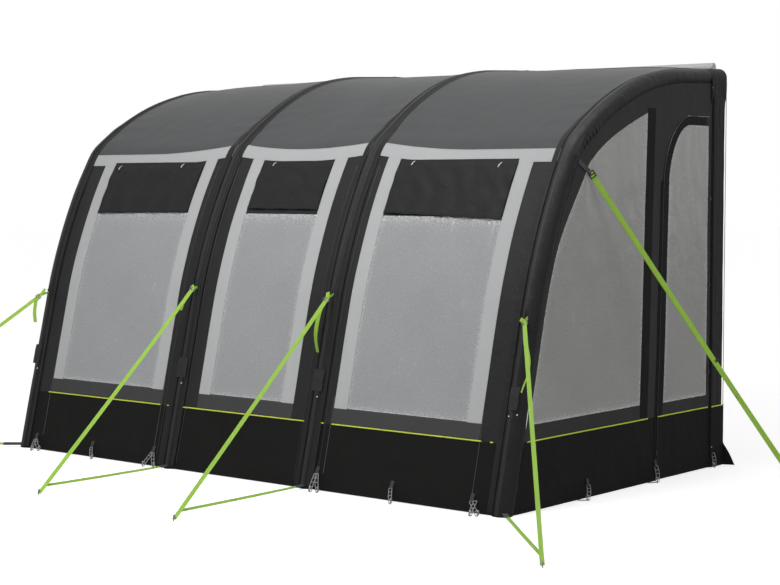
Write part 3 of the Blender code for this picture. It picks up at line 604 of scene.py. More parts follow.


# Window bands
# Light grey tape down both sides of every window to the header, and a dark grey strip under the window
# and its bands, all sewn down along their edges.

BAND_WIDTH = 0.095
band_cloth = cloth(
    "band_cloth", BAND_GREY, roughness=0.7, mottle=0.05, crease=0.2, gloss=0.2, seams=(0.004, 0.091),
    stitches=BAND_STITCH
)
# The strip's grey, lighter than the wall's black, is painted light: the wall's black cloth where it catches more light.
strip_cloth = cloth("sill_cloth", (0.050, 0.050, 0.052, 1.0), roughness=0.7, mottle=0.08, gloss=0.15, seams=(0.004,))
for bay, (left, right) in WINDOW_X.items():
    sill = lay(
        f"sill_strip_{bay}",
        stops(0.0095, -WINDOW_RUNS[0] + 0.002, -MUD_TOP_RUN),
        stops(GRID, left - BAND_WIDTH, right + BAND_WIDTH),
        lambda a, x: wall_point(x, -a, 0.0012),
    )
    sew(sill, TAPE, strip_cloth, WALL_BODY[bay], slot="roof_fabric", rests_on=[f"wall_{bay}"])
    for side, start in (("near", left - BAND_WIDTH), ("far", right)):
        band = lay(
            f"window_band_{bay}_{side}",
            stops(0.0095, start, start + BAND_WIDTH),
            stops(GRID, WINDOW_RUNS[0] - 0.004, PANEL_TOP_RUN - 0.002),
            lambda x, run: wall_point(x, to_header(x, run, 1.80, 0.004), 0.0016),
        )
        sew(band, TAPE, band_cloth, WALL_BODY[bay], slot="band_fabric", rests_on=[f"wall_{bay}"])


# Piping
# Lime piping along the top of the mud cloth of every wall, a cord in a folded strip.

PIPING_RADIUS, PIPING_PROUD = 0.0038, 0.0040
piping_cloth = cloth(
    "piping_cloth", (0.60, 0.67, 0.045, 1.0), thread=0.0011, roughness=0.6, mottle=0.14, crease=0.1
)


def bead_along(name, points, radius, material, body, slot, sides=8):
    """A round bead along these points, as one mesh with closed ends."""
    curve = bpy.data.curves.new(name, "CURVE")
    curve.dimensions = "3D"
    curve.bevel_depth = radius
    curve.bevel_resolution = sides // 2 - 2
    curve.use_fill_caps = True
    spline = curve.splines.new("POLY")
    spline.points.add(len(points) - 1)
    for point, place in zip(spline.points, points):
        point.co = (*place, 1.0)
    made = bpy.data.objects.new(name, curve)
    bpy.context.scene.collection.objects.link(made)
    take(made)
    bpy.ops.object.convert(target="MESH")
    made = bpy.context.object
    made.name = made.data.name = name
    if not made.data.uv_layers:
        made.data.uv_layers.new()
        for uv, loop in zip(made.data.uv_layers.active.data, made.data.loops):
            place = made.data.vertices[loop.vertex_index].co
            uv.uv = (place.x + place.y, place.z)
    return put(made, material, body, slot=slot, angle=60.0)


def front_piping(name, bay, xs):
    points = [wall_point(x, MUD_TOP_RUN, PIPING_PROUD) for x in xs]
    bead_along(name, points, PIPING_RADIUS, piping_cloth, WALL_BODY[bay], "lime_webbing")


for bay, ends in (("left", (-1.734, -0.692)), ("middle", (-0.493, 0.489)), ("right", (0.696, 1.731))):
    front_piping(f"piping_{bay}", bay, stops(0.02, *ends))
for x, bay in ((-0.622, "left"), (0.625, "right"), (1.80, "right")):
    front_piping(f"piping_dot_{bay}_{round(abs(x) * 100)}", bay, (x - 0.009, x, x + 0.009))


# Windows
# Tinted vinyl welded into the cut-outs: flat and a little slack in the middle, puckered into crumples along
# the weld, most of all under the flap: the weld is paler, and highlights on its crumples are painted in.

def film(name, colour, roughness=0.24):
    """Vinyl with faint ripples, dusty bloom, painted glints and, where the edge attribute is high, a paler weld with
    painted highlights.
    """
    material = new_material(name, colour, roughness, Coat_Weight=0.25, Coat_Roughness=0.1)
    place = add_node(material, "TexCoord").outputs["UV"]
    bloom = add_node(material, "TexNoise", Vector=place, Scale=2.6, Detail=6.0, Roughness=0.6).outputs["Fac"]
    # Fine pale specks, set into the colour in patches: painted glints on the film's small wrinkles.
    glint_specks = add_node(material, "TexNoise", Vector=place, Scale=85.0, Detail=5.0, Roughness=0.65, Distortion=0.6)
    glint_specks = glint_specks.outputs["Fac"]
    glint_patches = add_node(material, "TexNoise", Vector=place, Scale=6.0, Detail=2.0).outputs["Fac"]
    base = mix(material, bloom, shade(colour, 0.90), shade(colour, 1.12))
    # Painted highlights: where the specks and patches meet, the colour is raised up to 1.7 times.
    spots = add_node(material, "MapRange", Value=glint_specks, From_Min=0.50, From_Max=0.72, To_Max=0.6).outputs[0]
    base = mix(material, work(material, "MULTIPLY", spots, glint_patches), base, shade(colour, 1.7))
    # Near the weld the colour goes up to 2.3 times: partly the weld's lighter colour, partly painted crumple
    # highlights.
    edge = add_node(material, "Attribute", {"attribute_name": "edge"}).outputs["Fac"]
    pale = add_node(material, "MapRange", Value=glint_specks, From_Min=0.40, From_Max=0.60).outputs[0]
    pale = work(material, "MULTIPLY", work(material, "MULTIPLY", edge, pale), 0.8)
    base = mix(material, pale, base, shade(colour, 2.3))
    ripple = add_node(material, "TexNoise", Vector=place, Scale=9.0, Detail=2.0, Distortion=1.5).outputs["Fac"]
    bump = add_node(material, "Bump", Height=ripple, Strength=0.35, Distance=0.006).outputs[0]
    crumple = add_node(material, "TexVoronoi", {"feature": "F1"}, Vector=place, Scale=75.0).outputs["Distance"]
    crumple = work(material, "MULTIPLY", crumple, edge)
    bump = add_node(material, "Bump", Height=crumple, Strength=0.9, Distance=0.006, Normal=bump).outputs[0]
    rough = add_node(material, "MapRange", Value=bloom, To_Min=roughness - 0.08, To_Max=roughness + 0.1).outputs[0]
    wire(material, Base_Color=base, Normal=bump, Roughness=rough)
    return material


def mark_edges(obj, nearness, *corner):
    """Stores how near a weld each point is, from nearness(a, b) at its stops, as the edge attribute."""
    attribute = obj.data.attributes.new("edge", "FLOAT", "POINT")
    first = Vector(corner or (0.0, 0.0))
    spots = {loop.vertex_index: uv.uv + first for loop, uv in zip(obj.data.loops, obj.data.uv_layers.active.data)}
    for index, spot in spots.items():
        attribute.data[index].value = nearness(*spot)


def fine_ends(start, low, high, end):
    """Stops that are close together near both welds."""
    return stops(0.0045, start, low) + stops(0.013, low, high)[1:] + stops(0.0045, high, end)[1:]


front_film = film("front_film", (0.275, 0.282, 0.288, 1.0))
for bay, (left, right) in WINDOW_X.items():
    bottom, top = WINDOW_RUNS

    def pucker(x, run):
        """From 0 in the middle of the window to 1 at its weld, with the top's weld the most crumpled."""
        side = math.exp(-min(x - left, right - x) / 0.010)
        low_edge = math.exp(-(run - bottom) / 0.012)
        top_edge = math.exp(-(top - run) / 0.030)
        return min(1.0, 0.7 * side + 0.8 * low_edge + 1.1 * top_edge)

    def window_point(x, run):
        near = pucker(x, run)
        edge = ease(min(x - left, right - x, run - bottom, top - run) / 0.004)
        slack = 0.003 * rumple(x, run, 0.28, 12.0) + 0.0012 * rumple(x * 2, run, 0.12, 15.0)
        crumple = 0.0050 * near * rumple(x * 1.6, run * 1.6, 0.02, 17.0)
        return wall_point(x, run, (slack * (1 - near) + crumple) * edge)

    across = fine_ends(left + WELD_GAP, left + 0.05, right - 0.05, right - WELD_GAP)
    runs = fine_ends(bottom + WELD_GAP, bottom + 0.05, top - 0.08, top - WELD_GAP)
    pane = lay(f"window_{bay}_film", across, runs, window_point)
    mark_edges(pane, pucker, across[0], runs[0])
    sew(pane, FILM, front_film, WALL_BODY[bay], f"window_{bay}", slot="clear_film", rests_on=[f"wall_{bay}"])


# Vent meshes
# Fine black insect mesh behind each flap, held in the upper cut-out.

mesh_cloth = cloth(
    "mesh_cloth", (0.018, 0.018, 0.019, 1.0), thread=0.0022, roughness=0.9, mottle=0.1, weave=1.0, gloss=0.15
)
for bay, (left, right) in WINDOW_X.items():
    net = lay(
        f"vent_net_{bay}",
        stops(0.02, left + WELD_GAP, right - WELD_GAP),
        stops(0.02, VENT_RUNS[0] + WELD_GAP, VENT_RUNS[1] - WELD_GAP),
        lambda x, run: off_beam(x, run, wall_offset(x, run) - 0.0004),
    )
    sew(net, FILM, mesh_cloth, WALL_BODY[bay], f"vent_mesh_{bay}", slot="vent_mesh", rests_on=[f"wall_{bay}"])


# Vent flaps
# Black flaps sewn along their tops, hanging over the mesh with a turned hem and soft drag lines. Pale
# elastic loops at the top hold each one when it is rolled.

FLAP_RUNS, FLAP_FOLD, FLAP_DRAG, HEM, LOOP = (1.568, 1.912), 0.009, 0.0085, 0.022, (0.007, 0.028)
FLAPS = {  # folds, how much longer it is at its left and right ends, and the places of its loops
    "left": (4, 0.018, 0.004, (0.077, 0.776)),
    "middle": (3, -0.024, -0.024, (0.18,)),
    "right": (5, -0.010, 0.021, (0.127, 0.868)),
}
flap_cloth = cloth("flap_cloth", (0.0125, 0.0125, 0.0125, 1.0), roughness=0.6, mottle=0.1, crease=1.0, gloss=0.13)
hem_cloth = cloth("flap_hem_cloth", (0.014, 0.014, 0.014, 1.0), roughness=0.7, seams=(0.003,), gloss=0.12)
loop_cloth = cloth("loop_elastic", (0.62, 0.62, 0.60, 1.0), thread=0.0009, roughness=0.7)
for bay, (left, right) in WINDOW_X.items():
    low, high = left + 0.004, right - 0.004
    bottom, top = FLAP_RUNS
    folds, left_drop, right_drop, loops = FLAPS[bay]

    def flap_point(x, run, proud=0.0):
        down = (top - run) / (top - bottom)
        across = (x - low) / (high - low)
        wave = (1 - math.cos(2 * math.pi * folds * across + 1.2 * rumple(x, 0.0, 0.3, 3.0))) / 2
        drag = FLAP_DRAG * rumple(x + 0.9 * run, run * 0.5 - 0.3 * x, 0.09, 21.0)
        drag *= math.sin(math.pi * min(down * 1.2, 1.0)) * ease(down / 0.2)
        stand = FLAP_FOLD * wave * down**2 + 0.004 * ease(down / 0.15) + drag
        run -= (left_drop + (right_drop - left_drop) * across) * down
        return off_beam(x, run, PANEL_OFFSET + 0.0022 + max(stand, 0.0) + proud)

    flap = lay(f"flap_{bay}", stops(0.009, low, high), stops(0.009, bottom, top), flap_point)
    apply(flap, "SOLIDIFY", thickness=0.0015, offset=0.0)
    put(flap, flap_cloth, f"vent_flap_{bay}", f"vent_flap_{bay}", slot="black_fabric")

    def hem_point(a, x):
        return flap_point(x, bottom + HEM - a, 0.0013 + 0.001 * ease(a / 0.006) * ease((HEM + 0.004 - a) / 0.006))

    hem = lay(f"flap_hem_{bay}", stops(0.003, 0.0, HEM), stops(0.009, low, high), hem_point)
    apply(hem, "SOLIDIFY", thickness=TAPE, offset=0.0)
    put(hem, hem_cloth, f"vent_flap_{bay}", slot="black_fabric")
    for number, share in enumerate(loops):
        x = low + (high - low) * share

        def loop_point(a, b):
            run = min(header_bottom(x), top - 0.006) - 0.003 - b
            return flap_point(x + a - b * 0.5, run, 0.0026 + 0.004 * math.sin(math.pi * b / LOOP[1]))

        loop = lay(f"flap_loop_{bay}_{number}", stops(0.0035, 0.0, LOOP[0]), stops(0.004, 0.0, LOOP[1]), loop_point)
        apply(loop, "SOLIDIFY", thickness=FILM, offset=0.0)
        put(loop, loop_cloth, f"vent_flap_{bay}", slot="band_fabric")


# Side walls
# Black coated polyester cut to the beam's curve, with a doubled zip strip in front of the door and mud
# cloth below the piping. The seams between its panels run along the window and round the door.

SIDE_X, PANEL_EDGE = 1.94263, 0.02895
SIDES = {"left": -1.0, "right": 1.0}
BEAM_OF = {"left": "1", "right": "4"}
WINDOW_REAR, WINDOW_BOTTOM, WINDOW_TOP = 0.18, 0.455, 2.1019
DOOR_FRONT, DOOR_REAR, DOOR_TOP, ARCH_DEEP, ARCH_HIGH = 0.365, 0.9647, 2.10, 0.31, 0.38
MUD_TOP, ZIP_STRIP_REAR = 0.37, 0.262

side_cloth = cloth("side_cloth", (0.033, 0.033, 0.033, 1.0), roughness=0.7, mottle=0.1, crease=0.35, gloss=0.12)
zip_strip_cloth = cloth(
    "zip_strip_cloth", (0.011, 0.011, 0.0115, 1.0), roughness=0.6, mottle=0.2, gloss=0.05, seams=(0.003, 0.039, 0.075)
)


def beam_edge(run, inset):
    y, z, slope = profile(run)
    return y + inset * math.sin(slope), z - inset * math.cos(slope)


def pass_at(points, value, key):
    """The other coordinate where a line of (Y, Z) points, rising in the key one, reaches a value."""
    other = 1 - key
    for low, high in zip(points, points[1:]):
        if low[key] <= value <= high[key]:
            share = (value - low[key]) / max(high[key] - low[key], 1e-9)
            return low[other] + (high[other] - low[other]) * share
    return points[0][other] if value < points[0][key] else points[-1][other]


EDGE_STEP, EDGE_STEPS, WINDOW_STEP = 0.004, 910, 100
WALL_EDGE = [beam_edge(EDGE_STEP * i, PANEL_EDGE) for i in range(EDGE_STEPS)]
WALL_EDGE[0] = (FOOT_Y + PANEL_EDGE / math.sin(LEG_LEAN), 0.0)
WINDOW_EDGE = []
for i in range(WINDOW_STEP, EDGE_STEPS):
    run = EDGE_STEP * i
    y, z = beam_edge(run, 0.058 + 0.064 * ease((run - 1.35) / (HEADER_TOP_RUN - 1.35)))
    if z > WINDOW_BOTTOM - 0.004 and y < WINDOW_REAR:
        WINDOW_EDGE.append((y, max(z, WINDOW_BOTTOM)))
WINDOW_EDGE.append((WINDOW_REAR, WINDOW_TOP))


def arch(left, top, deep, high, bottom, clearance=0.0):
    """Up the zip side of the door and round its arch to the top, as (Y, Z) points."""
    left, spring = left - clearance, top - high
    points = [(left, bottom)]
    for step in range(49):
        angle = math.pi / 2 * step / 48
        z = spring + (high + clearance) * math.sin(angle)
        points.append((left + (deep + clearance) * (1 - math.cos(angle)), z))
    return points


DOOR_EDGE = arch(DOOR_FRONT, DOOR_TOP, ARCH_DEEP, ARCH_HIGH, 0.006)
WALL_DOOR_EDGE = arch(DOOR_FRONT, DOOR_TOP, ARCH_DEEP, ARCH_HIGH, 0.0, WELD_GAP)
GLASS_FRONT, GLASS_BOTTOM, GLASS_TOP = 0.435, 0.445, 2.045
GLASS_EDGE = arch(GLASS_FRONT, GLASS_TOP, 0.24, 0.325, GLASS_BOTTOM)


def fold(y, z, first, second, width):
    """1 along a soft fold from one point to another, falling to 0 at its sides and ends."""
    (y0, z0), (y1, z1) = first, second
    length = math.hypot(y1 - y0, z1 - z0)
    along = ((y - y0) * (y1 - y0) + (z - z0) * (z1 - z0)) / length
    off = abs((y - y0) * (z1 - z0) - (z - z0) * (y1 - y0)) / length
    return math.exp(-((off / width) ** 2)) * ease(along / (0.3 * length)) * ease((length - along) / (0.3 * length))


SIDE_FOLDS = (
    (0.0035, ((-0.96, 0.1), (-0.90, 0.75)), 0.014), (-0.003, ((-0.93, 0.15), (-0.83, 0.9)), 0.012),
    (0.003, ((0.25, 0.05), (0.1, 0.36)), 0.02), (0.003, ((-0.5, 0.02), (-0.75, 0.3)), 0.018),
)


def side_offset(y, z):
    """How far the side's cloth stands off its flat plane."""
    front = pass_at(WALL_EDGE, min(z, 2.3), 1)
    hold = ease((y - front) / 0.06) * ease((DOOR_REAR + 0.05 - y) / 0.08)
    soft = 0.0030 * rumple(y, z * 0.55, 0.33, 31.0) + 0.0014 * rumple(y * 1.5, z * 0.6, 0.09, 33.0)
    hem = 0.0035 * ease((0.14 - z) / 0.1) * (0.6 + 0.4 * rumple(y, z, 0.14, 35.0))
    folds = sum(height * fold(y, z, *ends, width) for height, ends, width in SIDE_FOLDS)
    return (soft + hem) * hold + folds


def side_point(sign, y, z, proud=0.0):
    """On the side's cloth. The seams round the window and the door's zip lean back towards the top."""
    shift = ease((y + 0.3) / 0.48) * ease((0.93 - y) / 0.46) * ease((pass_at(WALL_EDGE, y, 0) - z) / 0.1)
    lean = 0.0364 * max(z - 0.38, 0.0) * shift
    return Vector((sign * (SIDE_X + side_offset(y, z) + proud), y + lean, z))


def face_out(obj, sign):
    """Turns a piece's faces outwards on its side of the awning."""
    if sum(face.normal.x * face.area for face in obj.data.polygons) * sign < 0:
        obj.data.flip_normals()
    return obj


def side_piece(name, sign, across, along, place=lambda y, z: (y, z), proud=0.0):
    """A grid in the side's plane, from place(a, b) as Y and Z, facing out of the awning."""
    return face_out(lay(name, across, along, lambda a, b: side_point(sign, *place(a, b), proud)), sign)


def map_by_place(obj, across=0.0):
    """Draws a piece's map from its own Y and Z, in metres, with a share of X for a solid one."""
    for loop, uv in zip(obj.data.loops, obj.data.uv_layers.active.data):
        place = obj.data.vertices[loop.vertex_index].co
        uv.uv = (place.y + across * abs(place.x), place.z)


def join(*objs):
    take(*objs)
    bpy.ops.object.join()
    return bpy.context.object


def between(low, high):
    """A mapping for grids whose second stop runs from 0 to 1 between two heights that depend on Y."""
    return lambda y, b: (y, low(y) + (high(y) - low(y)) * b)


for side, sign in SIDES.items():
    unit = stops(0.02, 0.0, 1.0)

    def edge_y(z):
        return pass_at(WALL_EDGE, z, 1)

    def edge_z(y):
        return pass_at(WALL_EDGE, y, 0)

    low_part = side_piece(
        f"side_{side}", sign, unit, stops(GRID, 0.002, MUD_TOP, WINDOW_BOTTOM),
        lambda a, z: (edge_y(z) + (DOOR_FRONT - WELD_GAP - edge_y(z)) * a, z),
    )
    runs = len(WINDOW_EDGE) - 1

    def strip_place(a, b):
        inner = WINDOW_EDGE[round(b * runs)]
        outer = beam_edge(EDGE_STEP * (WINDOW_STEP + round(b * runs)) + 0.072, PANEL_EDGE)
        if b == 0.0:
            outer = (edge_y(WINDOW_BOTTOM), WINDOW_BOTTOM)
        if b == 1.0:
            outer = (WINDOW_REAR, edge_z(WINDOW_REAR))
        outer = (min(outer[0], WINDOW_REAR), max(outer[1], WINDOW_BOTTOM))
        return outer[0] + (inner[0] - outer[0]) * a, outer[1] + (inner[1] - outer[1]) * a

    rows = [i / runs for i in range(runs + 1)]
    front_part = side_piece("front_part", sign, stops(0.125, 0.0, 1.0), rows, strip_place)
    rear_part = side_piece(
        "rear_part", sign, stops(GRID, WINDOW_REAR, DOOR_FRONT - WELD_GAP), stops(0.008, 0.0, 1.0),
        between(lambda y: WINDOW_BOTTOM, edge_z),
    )
    top_part = side_piece(
        "top_part", sign, stops(0.008, DOOR_FRONT - WELD_GAP, DOOR_REAR), stops(0.06, 0.0, 1.0),
        between(lambda y: max(pass_at(WALL_DOOR_EDGE[1:], y, 0), WALL_DOOR_EDGE[1][1]), edge_z),
    )
    wall = join(low_part, front_part, rear_part, top_part)
    hold_mesh_low(wall)
    map_by_place(wall)
    apply(wall, "WELD", merge_threshold=0.0004)
    sew(
        wall, CLOTH, side_cloth, "canopy", f"side_wall_{side}", slot="black_fabric",
        rests_on=[f"beam_sleeve_{BEAM_OF[side]}", f"rear_pad_{side}"],
    )
    add_mud_cloth(wall, MUD_TOP - 0.002)

    # The doubled strips that cover the zips, behind the side window and along the door's front.
    for name, front, rear, bottom, top in (
        ("side", 0.184, ZIP_STRIP_REAR, MUD_TOP + 0.01, 2.13), ("door", 0.344, 0.3635, 0.03, 1.72)
    ):
        across, along = stops(0.006, front, rear), stops(GRID, bottom, top)
        strip = side_piece(f"{name}_zip_strip_{side}", sign, across, along, proud=0.0026)
        sew(strip, DOUBLED, zip_strip_cloth, "canopy", slot="black_fabric", rests_on=[f"side_{side}"])

    points = [side_point(sign, y, MUD_TOP, PIPING_PROUD) for y in stops(0.02, -0.925, ZIP_STRIP_REAR)]
    bead_along(f"side_piping_{side}", points, PIPING_RADIUS, piping_cloth, "canopy", "lime_webbing")


# Side windows
# Vinyl cut to the curve of the beam and welded in all round, hanging in soft vertical swags.

# Its colour is painted a little paler than the front film's, to make up for the weaker light on the sides.
side_film = film("side_film", (0.290, 0.290, 0.280, 1.0))


def side_pane(name, sign, body, node, frame_node, left_edge, rear, bottom, top):
    """A pane in its frame's cut-out, whose front edge is a curve, with rows from its bottom to its top."""

    def place(a, b):
        z = bottom + (top - bottom) * b
        front = pass_at(left_edge, z, 1)
        return front + (rear - front) * a, z

    across, along = stops(0.03, 0.0, 1.0), stops(0.008, 0.0, 1.0)
    across = sorted({0.0, 0.004, 0.008, 0.014, 0.02, *across, 0.98, 0.986, 0.992, 0.996, 1.0})
    along = sorted({0.0, 0.003, *along, 0.997, 1.0})

    def weld(a, b):
        y, z = place(a, b)
        front = pass_at(left_edge, z, 1)
        near = min(y - front, rear - y, z - bottom, top - z)
        return math.exp(-near / 0.011), near

    def point(a, b):
        y, z = place(a, b)
        near, gap = weld(a, b)
        swag = 0.0022 * rumple(y * 1.2, z * 0.4, 0.2, 41.0) + 0.001 * rumple(y * 2.5, z * 0.7, 0.1, 43.0)
        crumple = 0.0022 * near * rumple(y * 1.5, z * 1.5, 0.022, 45.0)
        return side_point(sign, y, z, (swag * (1 - near) + crumple) * ease(gap / 0.004))

    pane = face_out(lay(name, across, along, point), sign)
    mark_edges(pane, lambda a, b: weld(a, b)[0])
    map_by_place(pane)
    sew(pane, FILM, side_film, body, node, slot="side_film", rests_on=[frame_node])


for side, sign in SIDES.items():
    edge = [(y + WELD_GAP, max(z, WINDOW_BOTTOM)) for y, z in WINDOW_EDGE]
    side_pane(
        f"side_film_{side}", sign, "canopy", f"side_window_{side}", f"side_wall_{side}", edge, WINDOW_REAR - WELD_GAP,
        WINDOW_BOTTOM + WELD_GAP, WINDOW_TOP - 0.002,
    )


# Doors
# One a side: a leaf of the wall's cloth with an arched top, hinged on its sewn rear edge, with a dark
# zip tape round the front and the arch, a welded window, and mud cloth below the piping.

zip_cloth = cloth(
    "zip_tape", (0.010, 0.0102, 0.0105, 1.0), roughness=0.55, mottle=0.2, seams=(0.004, 0.058), gloss=0.05
)
toggle_plastic = skin("toggle_black", (0.012, 0.012, 0.013, 1.0), 0.35, 900.0, 2.0, 0.25, 0.0002)

TAPE_WIDTH, TAPE_STEP = 0.062, 0.01


def tape_edge(front, top, deep, high):
    """An edge of the zip's tape, as (Y, Z) points: up from the hem, round the arch and along the top."""
    curve = arch(front, top, deep, high, 0.0)[1:]
    return [(front, 0.02 + i * 0.02) for i in range(85)] + curve + [(y, top) for y in stops(0.02, 0.69, 0.9)]


for side, sign in SIDES.items():
    body = f"door_{side}"
    glass_rear = DOOR_REAR - 0.035
    outer = DOOR_EDGE[1:] + [(DOOR_REAR, DOOR_TOP)]
    inner = GLASS_EDGE[1:] + [(glass_rear, GLASS_TOP)]
    zip_side = side_piece(f"{body}_leaf", sign, stops(GRID, DOOR_FRONT, GLASS_FRONT), stops(GRID, GLASS_BOTTOM, 1.72))
    count = len(outer) - 1
    crown = side_piece(
        "crown", sign, stops(0.2, 0.0, 1.0), [i / count for i in range(count + 1)],
        lambda a, b: [o + (i - o) * a for o, i in zip(outer[round(b * count)], inner[round(b * count)])],
    )
    hinge_side = side_piece(
        "hinge_side", sign, stops(0.012, 0.0, 1.0), stops(GRID, GLASS_BOTTOM, GLASS_TOP),
        lambda a, z: (glass_rear + (DOOR_REAR - glass_rear) * a, z),
    )
    corner = side_piece(
        "corner", sign, [0.0, 1.0], [0.0, 1.0],
        lambda a, b: (glass_rear + (DOOR_REAR - glass_rear) * a, GLASS_TOP + (DOOR_TOP - GLASS_TOP) * a * b),
    )
    foot = side_piece("foot", sign, stops(GRID, DOOR_FRONT, DOOR_REAR), stops(GRID, 0.006, MUD_TOP, GLASS_BOTTOM))
    leaf = join(zip_side, crown, hinge_side, corner, foot)
    map_by_place(leaf)
    apply(leaf, "WELD", merge_threshold=0.0004)
    sew(leaf, CLOTH, side_cloth, body, body, slot="black_fabric", held="hung", rests_on=[f"side_wall_{side}"])
    add_mud_cloth(leaf, MUD_TOP - 0.002)

    side_pane(
        f"{body}_film", sign, body, f"door_window_{side}", body, [(y + WELD_GAP, z) for y, z in GLASS_EDGE],
        glass_rear - WELD_GAP, GLASS_BOTTOM + WELD_GAP, GLASS_TOP - WELD_GAP,
    )

    # The zip's dark tape, round the front edge and the arch as far as the hinge side.
    rim = tape_edge(DOOR_FRONT + 0.002, DOOR_TOP - 0.002, ARCH_DEEP - 0.002, ARCH_HIGH - 0.002)
    rim_in = tape_edge(DOOR_FRONT + 0.064, 2.048, 0.243, 0.328)
    tape = side_piece(
        f"{body}_zip_tape", sign, stops(0.008, 0.0, TAPE_WIDTH), [i * TAPE_STEP for i in range(len(rim))],
        lambda a, b: tuple(
            o + (i - o) * a / TAPE_WIDTH for o, i in zip(rim[round(b / TAPE_STEP)], rim_in[round(b / TAPE_STEP)])
        ), 0.0022,
    )
    sew(tape, TAPE, zip_cloth, body, slot="black_fabric", rests_on=[body])
    coil = [side_point(sign, y + 0.003, z, 0.0040) for y, z in rim[:-6]]
    bead_along(f"{body}_zip_coil", coil, 0.0022, toggle_plastic, body, "black_plastic")

    points = [side_point(sign, y, MUD_TOP, PIPING_PROUD) for y in stops(0.02, DOOR_FRONT + 0.012, DOOR_REAR - 0.020)]
    bead_along(f"door_piping_{side}", points, PIPING_RADIUS, piping_cloth, body, "lime_webbing")


# Sleeve flanges
# The cloth of each sleeve runs on past the tube as a flat flange that is sewn over the roof's and the
# front's edges and zips to the walls. Its free edge stands up a little on the front. The outer ones turn
# with the wall on the awning, but here their legs are set on no body.

flange_cloth = cloth(
    "flange_cloth", (0.0095, 0.0095, 0.0097, 1.0), roughness=0.5, mottle=0.16, crease=0.9, seams=(0.004,), gloss=0.15
)
# Darker than the wall's cloth: the zips' own dark colour and painted shadow along the seams.
seam_shadow_line_cloth = cloth("seam_shadow_line_cloth", (0.006, 0.006, 0.0065, 1.0), thread=0.001, roughness=0.5)
TUBE_EDGE = 0.030
FLANGES = (
    ("1_right", "left", 1.0, 0.058, 0.042), ("2_left", "left", -1.0, 0.080, 0.046),
    ("2_right", "middle", 1.0, 0.060, 0.046), ("3_left", "middle", -1.0, 0.060, 0.046),
    ("3_right", "right", 1.0, 0.072, 0.046), ("4_left", "right", -1.0, 0.062, 0.042),
)
for name, bay, way, reach, reach_up in FLANGES:
    centre = BEAMS[name[0]][0]

    def flange_point(a, run):
        """A share from the tube to the free edge, at a length along the beam."""
        wide = reach + (reach_up - reach) * ease((run - 2.0) / 0.35)
        x = centre + way * (TUBE_EDGE + (wide - TUBE_EDGE) * a)
        rise = 0.0030 * ease(a / 0.3) * ease((1.85 - run) / 0.2) + 0.0004
        wave = 0.0012 * rumple(centre + 3 * a, run * 1.2, 0.12, 51.0) * a
        if run < header_bottom(x):
            return wall_point(x, run, 0.0022 + rise + max(wave, 0.0))
        if run < header_top(x):
            return header_point(x, run, 0.0026)
        return roof_point(bay, x, run) + Vector((0.0, 0.0, 0.0026))

    split = header_bottom(centre + way * 0.05) - 0.004
    for part, start, end in (("leg", 0.004, split), ("roof", split + 0.0005, ROOF_END_RUN - 0.01)):
        flange = lay(f"sleeve_flange_{name}_{part}", stops(0.125, 0.0, 1.0), stops(0.012, start, end), flange_point)
        if way < 0:
            flange.data.flip_normals()
        for uv in flange.data.uv_layers.active.data:
            uv.uv[0] = (1 - uv.uv[0]) * (reach - TUBE_EDGE)
        hold_mesh_low(flange)
        hinged = part == "leg" and name[0] in "14"
        sew(
            flange, DOUBLED, flange_cloth, None if hinged else "canopy", slot="black_fabric", offset=1.0,
            rests_on=[f"beam_sleeve_{name[0]}"],
        )
        if hinged:
            # It covers the wall's zip and turns with it on the awning, but is set on no body here; its transform is
            # baked into its mesh.
            y, z, slope = profile(LEG_RUN)
            start, end = ((centre + way * off, y, z) for off in (0.026, 0.044))
            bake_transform(flange)
            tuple(start)
            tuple(end)

# Dark beads beside the flanges in the walls' seams: partly the zips, partly painted shadow in the seams' gaps.
for bay, x in (("left", -0.652), ("right", 0.646), ("middle", 0.476), ("middle", -0.476)):
    points = [wall_point(x, run, 0.0016) for run in stops(0.03, 0.03, 1.88)]
    bead_along(f"seam_shadow_line_{bay}_{round(abs(x) * 1000)}", points, 0.0018, seam_shadow_line_cloth, WALL_BODY[bay], "black_fabric")


# Seam tapes
# Thin grey tapes over the wall's side seams, from the window bands to the hem.

seam_grey = cloth("seam_tape", (0.10, 0.10, 0.105, 1.0), thread=0.001, roughness=0.6)
for bay in ("left", "right"):
    left, right = WINDOW_X[bay]
    for side, x in (("near", left - BAND_WIDTH - 0.006), ("far", right + BAND_WIDTH + 0.006)):
        points = [wall_point(x, run, 0.0018) for run in stops(0.03, 0.09, 0.52)]
        bead_along(f"seam_tape_{bay}_{side}", points, 0.0011, seam_grey, WALL_BODY[bay], "roof_fabric", sides=6)


# Rear pads
# Foam-filled uprights of the sleeve's cloth, with a bead down each long edge, that press on the caravan
# behind each door. The right one is blown up by a cloth simulation and the left one is its mirror copy.

pad_cloth = cloth(
    "pad_cloth", (0.017, 0.017, 0.017, 1.0), thread=0.0018, roughness=0.6, mottle=0.14, crease=0.7, gloss=0.12
)
pale_edge_cloth = cloth("pale_edge_cloth", (0.30, 0.30, 0.295, 1.0), thread=0.0009, roughness=0.6)
low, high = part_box("rear_pad_right")
SLACK = 0.0035
bpy.ops.object.select_all(action="DESELECT")
bpy.ops.mesh.primitive_cube_add(size=1.0)
pad = bpy.context.object
pad.name = pad.data.name = "pad_right"
for vertex in pad.data.vertices:
    for axis in range(3):
        inset = SLACK if axis < 2 else 0.0015
        vertex.co[axis] = (low[axis] + inset) if vertex.co[axis] < 0 else (high[axis] - inset)
bpy.ops.object.mode_set(mode="EDIT")
bpy.ops.mesh.select_all(action="SELECT")
bpy.ops.mesh.subdivide(number_cuts=3)
bpy.ops.object.mode_set(mode="OBJECT")
apply(pad, "BEVEL", width=0.004, segments=2, limit_method="ANGLE")
apply(pad, "REMESH", mode="VOXEL", voxel_size=0.006)
